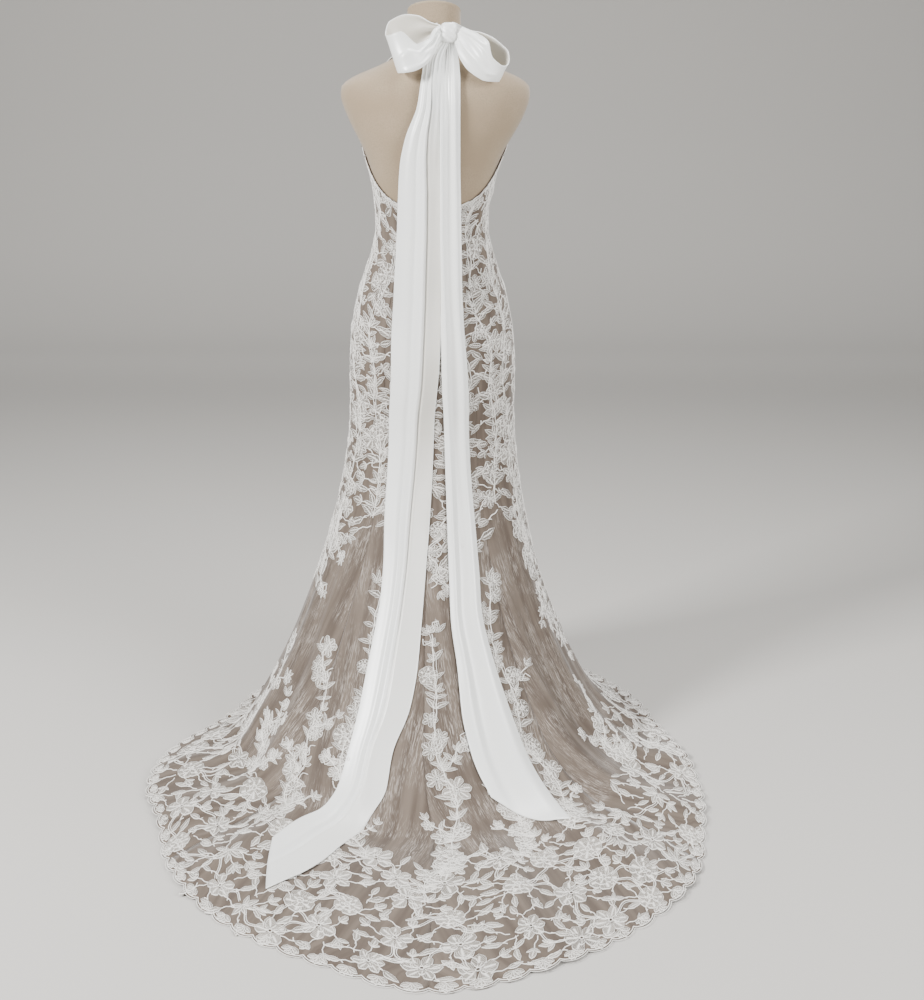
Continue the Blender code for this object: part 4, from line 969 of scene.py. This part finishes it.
def laid_on(tree, rows, ways, clear=SATIN_CLEAR):
    """The rows, moved along their ways out until every point clears what is below, with a soft change between."""
    reach = 0.04
    for _ in range(4):
        lift = np.zeros(rows.shape[:2])
        for place in np.ndindex(*lift.shape):
            way = ways[place]
            distance = tree.ray_cast(Vector(rows[place] + way * reach), Vector(-way), 2 * reach)[3]
            lift[place] = 0.0 if distance is None else max(0.0, clear + reach - distance)
        padded = np.pad(lift, 1, "edge")
        spread = np.max([padded[i : i + lift.shape[0], j : j + lift.shape[1]] for i in range(3) for j in range(3)], axis=0)
        rows = rows + ways * (0.6 * spread + 0.4 * lift)[..., None]
        if lift.max() < 0.0001:
            break
    return rows


def satin_piece(name, outer, inner, replaced, edges=True, painted_shade=0.0):
    """A satin wall with a rolled hem along each long edge, and what it replaces and was cut to. Its inner face is the
    dull side, in a greyer colour.
    Where the tails are given painted shade, the outer face is painted that greyer colour too, as painted shade."""
    piece = wall(name, outer, inner, satin)
    # Painted shade on the outer face, in the dull side's greyer colour; the inner face is the dull side itself
    painted_shade_shown = np.broadcast_to(painted_shade, outer.shape[:2]).ravel()
    dull_side_and_shade_values = np.concatenate([painted_shade_shown, np.ones(painted_shade_shown.size)])
    piece.data.attributes.new("dull_side_and_painted_shade", "FLOAT", "POINT").data.foreach_set("value", dull_side_and_shade_values)
    added = []
    if edges:
        middle = (outer + inner) / 2
        chains = [(middle[:, end], np.full(len(middle), 0.00095)) for end in (0, -1)]
        added = [corded("rolled_hem_" + name, chains, satin, 6)]
    for made in [piece] + added:
        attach(made, "root")
    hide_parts(replaced)
    return piece


Tie = namedtuple("Tie", "inner inner_height outer outer_height lift")
TIE_FRONT = [
    Tie(157, 1.20, 127, 1.20, 0), Tie(158, 1.300, 129, 1.298, 0), Tie(157, 1.325, 131, 1.325, 0),
    Tie(153, 1.352, 128, 1.350, 0), Tie(146, 1.378, 119, 1.372, 0), Tie(134, 1.402, 106, 1.388, 0),
    Tie(118, 1.425, 92, 1.396, 0), Tie(98, 1.441, 76, 1.402, 0), Tie(76, 1.450, 60, 1.410, 0.001),
]
TIE_END_RIGHT = [Tie(52, 1.451, 46, 1.416, 0.004), Tie(30, 1.452, 29, 1.424, 0.0150)]
TIE_END_LEFT = [
    Tie(55, 1.450, 45, 1.414, 0.001), Tie(30, 1.448, 26, 1.416, 0.002), Tie(10, 1.448, 8, 1.420, 0.003),
    Tie(-7, 1.450, -7, 1.424, 0.007),
]
for side, name, end, flat, area in (
    (1, "right", TIE_END_RIGHT, (0.082, 0.30), 0.0155), (-1, "left", TIE_END_LEFT, (0.082, 0.34), 0.0168),
):
    stations = resampled(TIE_FRONT + end, 84)
    across = np.linspace(0, 1, 21)
    angle = (stations[:, [0]] + (stations[:, [2]] - stations[:, [0]]) * across) * side
    height = stations[:, [1]] + (stations[:, [3]] - stations[:, [1]]) * across
    height = np.maximum(height, top_edge(angle) + 0.0008)
    first = figure_point(angle + 0.5, height) - figure_point(angle - 0.5, height)
    second = figure_point(angle, height + 0.002) - figure_point(angle, height - 0.002)
    ways = np.cross(first, second)
    ways /= np.linalg.norm(ways, axis=-1, keepdims=True)
    place = np.linspace(0, 1, 84)[:, None]
    pleats = 0.5 + 0.5 * np.cos(2 * np.pi * (across * 3.1 + 0.25 * np.sin(place * 7 + side)))
    pleats += 0.45 * np.exp(-(((across - 0.3 - 0.35 * place) / 0.07) ** 2))
    folds = pleats * (0.0009 + 0.0016 * ease(0.1, 0.75, place))
    inner = figure_point(angle, height) + ways * (SATIN_CLEAR + folds + stations[:, [4]])[..., None]
    inner = laid_on(under, inner, ways, 0.0004)
    outer = inner + ways * SATIN
    satin_piece("tie_" + name, outer, inner, "halter_tie_" + name)

# The tails: first where they hang free, by place, then where they lie on the gown, by angle and run
Hang = namedtuple("Hang", "left right height back")
Lie = namedtuple("Lie", "left left_run right right_run")
TAIL_HANG_LEFT = [
    Hang(0.010, 0.028, 1.4300, -0.080), Hang(-0.018, 0.016, 1.397, -0.094), Hang(-0.024, 0.013, 1.360, -0.108),
    Hang(-0.032, 0.014, 1.310, -0.119), Hang(-0.054, 0.014, 1.255, -0.121), Hang(-0.066, 0.014, 1.200, -0.121),
    Hang(-0.070, 0.014, 1.140, -0.122), Hang(-0.073, 0.014, 1.070, -0.124), Hang(-0.078, 0.013, 1.000, -0.127),
    Hang(-0.081, 0.012, 0.940, -0.128),
]
TAIL_LIE_LEFT = [
    Lie(-33, 0.62, 8.5, 0.63), Lie(-32, 0.80, 5.7, 0.81), Lie(-34.8, 0.99, 2.8, 0.98), Lie(-33, 1.12, 1.6, 1.12),
    Lie(-30, 1.22, 0.8, 1.21), Lie(-24.5, 1.33, -0.5, 1.32), Lie(-22.5, 1.42, -1.7, 1.43),
    Lie(-22.4, 1.52, -2.8, 1.52), Lie(-22, 1.62, -5, 1.61), Lie(-22, 1.71, -8.8, 1.70),
    Lie(-22.4, 1.80, -10, 1.80), Lie(-24.5, 1.90, -13.6, 1.90), Lie(-27.4, 2.02, -16, 2.07),
    Lie(-28.2, 2.18, -18.2, 2.34), Lie(-28.3, 2.312, -22, 2.67),
]
TAIL_HANG_RIGHT = [
    Hang(0.018, 0.036, 1.4300, -0.074), Hang(0.008, 0.045, 1.395, -0.087), Hang(0.004, 0.048, 1.355, -0.103),
    Hang(0.005, 0.048, 1.310, -0.115), Hang(0.006, 0.048, 1.255, -0.117), Hang(0.006, 0.048, 1.200, -0.117),
    Hang(0.006, 0.049, 1.140, -0.118), Hang(0.006, 0.050, 1.070, -0.120), Hang(0.008, 0.051, 1.000, -0.123),
    Hang(0.010, 0.052, 0.940, -0.125),
]
TAIL_LIE_RIGHT = [
    Lie(9, 0.62, 27.7, 0.64), Lie(9.1, 0.81, 29.3, 0.80), Lie(11.5, 0.98, 31.5, 1.00), Lie(12.4, 1.12, 31.3, 1.12),
    Lie(12.7, 1.22, 31, 1.22), Lie(12.6, 1.33, 29.5, 1.33), Lie(12, 1.43, 26.8, 1.43), Lie(12.7, 1.52, 27.6, 1.52),
    Lie(12.3, 1.62, 28.6, 1.61), Lie(13.2, 1.70, 29.1, 1.70), Lie(14.2, 1.77, 29.0, 1.79),
    Lie(14.8, 1.81, 28.5, 1.92), Lie(15.1, 1.84, 27.6, 2.07),
]
LACE_HIGH = 0.0012
for name, hang, lie, phase, flat, area in (
    ("right", TAIL_HANG_RIGHT, TAIL_LIE_RIGHT, 0.1, (0.127, 1.60), 0.1095),
    ("left", TAIL_HANG_LEFT, TAIL_LIE_LEFT, 0.45, (0.127, 1.84), 0.182),
):
    across = np.linspace(0, 1, 45)
    hang = resampled(hang, 28)
    free = np.stack([hang[:, [0]] + (hang[:, [1]] - hang[:, [0]]) * across, hang[:, [3]] + 0 * across,
                     hang[:, [2]] + 0 * across], axis=-1)
    lie = resampled(lie, 43)
    angle = lie[:, [0]] + (lie[:, [2]] - lie[:, [0]]) * across
    run = lie[:, [1]] + (lie[:, [3]] - lie[:, [1]]) * across
    low, low_ways = gown_surface(angle, run, 0.0)
    low += low_ways * (CLOTH + LACE_HIGH * lace_cover(angle, run) + SATIN_CLEAR)[..., None]
    rows = resampled(np.concatenate([free, low]), 150)
    ways = resampled(np.concatenate([np.broadcast_to([0.0, -1.0, 0.0], free.shape), low_ways]), 150)
    for _ in range(6):
        ways[1:-1] = ways[:-2] + 2 * ways[1:-1] + ways[2:]
        ways /= np.linalg.norm(ways, axis=-1, keepdims=True)
        rows[50:70] = (rows[49:69] + 2 * rows[50:70] + rows[51:71]) / 4
    place = np.linspace(0, 1, 150)[:, None]
    if name == "left":  # a long crest: left of it the band faces the light, right of it the band turns away
        crest = np.interp(place, [0, 0.25, 0.45, 0.7, 1], [0.45, 0.62, 0.62, 0.48, 0.50])
        high = np.interp(place, [0, 0.1, 0.6, 0.9, 1], [0.007, 0.0185, 0.0175, 0.0080, 0.0025])
        before, after = np.clip(across / crest, 0, 1), np.clip((across - crest) / (1 - crest), 0, 1)
        folds = high * np.where(across < crest, before**1.9, (1 - after) ** 1.2)
        folds -= 0.30 * high * np.exp(-(((before - 0.66) / 0.13) ** 2)) * (across < crest)
        folds -= 0.45 * high * np.exp(-(((across - crest - 0.035) / 0.030) ** 2))
        # Past the crest, where the band turns away from the light, the outer face is painted the greyer dull colour as
        # painted shade
        painted_shade = ease(0.0, 0.06, across - crest) * np.interp(place, [0, 0.12, 0.2, 0.5, 0.7, 1], [0, 0, 0.75, 0.8, 0.35, 0.15])
    else:  # a swell along each edge, and a shallow trough between them
        folds = 0.0085 * np.exp(-(((across - 0.20 + 0.06 * place) / 0.15) ** 2)) * (1 - 0.6 * ease(0.8, 1.0, place))
        folds += 0.0075 * np.exp(-(((across - 0.80) / 0.14) ** 2)) * (1 - 0.6 * place)
        # The shallow trough between the swells is painted slightly greyer, as painted shade
        painted_shade = 0.12 * np.exp(-(((across - 0.52) / 0.16) ** 2))
    pleats = np.zeros_like(folds)
    for middle, wide, height, last in (
        (0.16, 0.05, 0.0022, 0.30), (0.36, 0.04, 0.0026, 0.22), (0.55, 0.045, 0.0024, 0.16), (0.80, 0.05, 0.0020, 0.26),
    ):
        at = middle + 0.05 * np.sin(place * 9 + phase * 7 + middle * 20)
        pleats += height * np.exp(-(((across - at) / wide) ** 2)) * (1 - ease(last * 0.4, last, place))
    waves = 0.0007 * np.sin(2 * np.pi * (place * 5.3 + across * 0.6 + phase)) * ease(0.25, 0.5, place)
    folds = (folds * ease(0.0, 0.12, place) + pleats + waves) * (1 - 0.5 * ease(0.93, 1.0, place)) + 0.0008
    inner = laid_on(under, rows + ways * folds[..., None], ways)
    # The tail's painted shade share goes to the piece as a greyer colour on its outer face
    satin_piece("sash_tail_" + name, inner + ways * SATIN, inner, "tail_" + name,
                painted_shade=painted_shade)

# The knot: the sash wrapped once round itself, its folds running slantwise
KNOT_AT = (0.0265, -0.078, 1.4440)
Ring = namedtuple("Ring", "height half_wide half_deep")
KNOT = [
    Ring(-0.0185, 0.0090, 0.0060), Ring(-0.0160, 0.0135, 0.0095), Ring(-0.0080, 0.0160, 0.0120),
    Ring(0.0000, 0.0150, 0.0125), Ring(0.0080, 0.0160, 0.0120), Ring(0.0160, 0.0135, 0.0095),
    Ring(0.0185, 0.0090, 0.0060),
]
rings = resampled([tuple(ring) for ring in KNOT], 29)
turn = np.linspace(0.5 * np.pi + 0.01, 2.5 * np.pi - 0.01, 61)
place = rings[:, [0]] / 0.0185
slant = turn + 1.9 * place
crease = 0.95 + 0.110 * np.abs(np.sin(1.5 * slant + 0.4)) ** 0.6 + 0.035 * np.cos(7 * slant + 1.0)
layers = []
for shrink in (0.0, SATIN):
    x = KNOT_AT[0] + (rings[:, [1]] * crease - shrink) * np.cos(turn) + rings[:, [0]] * 0.12
    y = KNOT_AT[1] + (rings[:, [2]] * crease - shrink) * np.sin(turn)
    layers.append(np.stack([x, y, KNOT_AT[2] + rings[:, [0]] + 0 * turn], axis=-1))
satin_piece("sash_knot", layers[0], layers[1], "bow_knot", False)

# The loops: each a band that leaves the knot, turns at its far end and comes back behind itself. How far it
# reaches above and below its middle line, in front and behind, makes it gape where the photograph shows inside
Loop = namedtuple("Loop", "side near far belly twist flat area widths ridges")
Reach = namedtuple("Reach", "share front_up front_down back_up back_down")
Ridge = namedtuple("Ridge", "start_across start_share end_across end_share wide height")
LOOPS = [
    Loop("left", (0.0140, -0.079, 1.4465), (-0.084, -0.108, 1.4190), 0.029, -0.30, (0.092, 0.296), 0.0170,
         [Reach(0, 0.012, 0.012, 0.012, 0.012), Reach(0.12, 0.008, 0.016, 0.020, 0.016), Reach(0.3, -0.006, 0.033, 0.038, 0.034),
          Reach(0.55, -0.008, 0.048, 0.046, 0.044), Reach(0.8, 0.022, 0.053, 0.042, 0.048), Reach(1, 0.020, 0.051, 0.021, 0.051)],
         [Ridge(0.9, 0.10, -0.25, 0.95, 0.10, 0.0034), Ridge(0.1, 0.05, -0.75, 0.60, 0.09, 0.0030),
          Ridge(-0.5, 0.10, -0.92, 0.95, 0.08, 0.0022)]),
    Loop("right", (0.0450, -0.080, 1.4430), (0.130, -0.121, 1.3730), 0.022, 0.25, (0.071, 0.277), 0.0151,
         [Reach(0, 0.014, 0.014, 0.014, 0.014), Reach(0.12, 0.018, 0.020, 0.018, 0.020), Reach(0.3, 0.026, 0.030, 0.028, 0.030),
          Reach(0.55, 0.031, 0.036, 0.034, 0.035), Reach(0.8, 0.012, 0.034, 0.034, 0.031), Reach(1, 0.010, 0.022, 0.020, 0.022)],
         [Ridge(0.5, 0.06, 0.30, 0.80, 0.09, 0.0034), Ridge(-0.1, 0.05, -0.20, 0.95, 0.10, 0.0030),
          Ridge(0.85, 0.08, 0.75, 0.60, 0.07, 0.0026)]),
]
for loop in LOOPS:
    near, far = np.array(loop.near), np.array(loop.far)
    length = np.linalg.norm(far - near)
    away = (far - near) / length
    depth = np.cross(away, [0, 0, 1])
    depth *= -np.sign(depth[1]) / np.linalg.norm(depth)
    wide = np.cross(depth, away)
    wide *= np.sign(wide[2])
    turn = np.linspace(0, 2 * np.pi, 113)
    share = (1 - np.cos(turn)) / 2
    swell = 1.3 * np.sin(turn) * share**0.6 * loop.belly + 0.0022 * np.cos(turn / 2)
    path = near + np.outer(share * length, away) + np.outer(swell, depth)
    heading = np.gradient(path, axis=0)
    heading /= np.linalg.norm(heading, axis=1, keepdims=True)
    behind = ease(0.85 * np.pi, 1.15 * np.pi, turn)
    reaches = [curve_through(column(loop.widths, "share"), column(loop.widths, name), share) for name in Reach._fields[1:]]
    up = reaches[0] * (1 - behind) + reaches[2] * behind
    down = reaches[1] * (1 - behind) + reaches[3] * behind
    tip = np.cos(loop.twist * share), np.sin(loop.twist * share)
    edge_way = tip[0][:, None] * wide + tip[1][:, None] * depth
    thick = np.cross(edge_way, heading)
    thick *= np.sign(away[0]) / np.linalg.norm(thick, axis=1, keepdims=True)
    across = np.linspace(-1, 1, 35)
    offset = up[:, None] * (1 + across) / 2 - down[:, None] * (1 - across) / 2
    outer = path[:, None] + edge_way[:, None] * offset[..., None]
    front, along = 1 - behind[:, None], share[:, None]
    folds = 0.0021 * np.cos(across * 8.0 + 0.6 + 0.8 * along) * (1 - ease(0.15, 0.75, along))
    folds = folds + 0.0011 * np.cos(across * 15.0 + 1.9) * (1 - ease(0.05, 0.40, along))
    folds = folds + 0.0030 * np.cos(across * 2.6 + 0.6 + 1.2 * along) * np.sin(np.pi * along) ** 0.5
    for ridge in loop.ridges:
        t = np.clip((along - ridge.start_share) / (ridge.end_share - ridge.start_share), 0, 1)
        middle = ridge.start_across + (ridge.end_across - ridge.start_across) * t
        off = (across - middle) / ridge.wide
        sharp = np.where(off > 0, np.exp(-(off**2)), np.exp(-((off / 2.6) ** 2)))
        ends = ease(0, 0.15, along - ridge.start_share + 0.05) * (1 - ease(ridge.end_share - 0.12, ridge.end_share + 0.03, along))
        folds = folds + ridge.height * sharp * ends * front
    folds = folds * (0.3 + 0.7 * ease(0.02, 0.16, along))
    outer = outer - thick[:, None] * folds[..., None]
    inner = outer + thick[:, None] * SATIN
    replaced = "bow_loop_" + loop.side
    satin_piece("sash_loop_" + loop.side, outer, inner, replaced)


# A plain pale floor that curves up behind, and soft light from large lamps
floor_paint, tree, shader = cloth_material("pale matt floor", 0.85, 0.0)
shader.inputs["Base Color"].default_value = linear("b7b4af")
sweep = [(-6.0, 0.0), (3.2, 0.0), (3.9, 0.08), (4.4, 0.35), (4.7, 0.9), (4.8, 1.6), (4.8, 6.0)]
sweep = resampled(sweep, 60)
points = [(x, y, z) for y, z in sweep for x in (-8.0, 8.0)]
faces = [(2 * k, 2 * k + 1, 2 * k + 3, 2 * k + 2) for k in range(len(sweep) - 1)]
floor = mesh_object("studio_floor", points, faces, floor_paint)
Lamp = namedtuple("Lamp", "name place size power")
LAMPS = [
    Lamp("key", (-2.9, -2.1, 2.7), 0.9, 360.0), Lamp("fill", (2.9, -2.6, 2.0), 2.0, 215.0),
    Lamp("top", (0.4, 0.2, 3.4), 1.6, 90.0),
]
for lamp in LAMPS:
    light = bpy.data.lights.new(lamp.name, "AREA")
    light.size, light.energy = lamp.size, lamp.power
    made = bpy.data.objects.new(lamp.name, light)
    made.location = lamp.place
    made.rotation_euler = (Vector((0.0, -0.2, 0.6)) - Vector(lamp.place)).to_track_quat("-Z", "Y").to_euler()
    bpy.context.scene.collection.objects.link(made)
world = bpy.data.worlds.new("soft studio")
world.use_nodes = True
world.node_tree.nodes["Background"].inputs["Color"].default_value = linear("dfe1e4")
world.node_tree.nodes["Background"].inputs["Strength"].default_value = 0.38
bpy.context.scene.world = world
lens = bpy.data.cameras.new("camera")
lens.lens, lens.sensor_width = 53.14, 36.0
camera = bpy.data.objects.new("camera", lens)
camera.location = (0.052, -3.0, 1.40)
camera.rotation_euler = (math.radians(73.3), 0.0, 0.0)
bpy.context.scene.collection.objects.link(camera)
bpy.context.scene.camera = camera
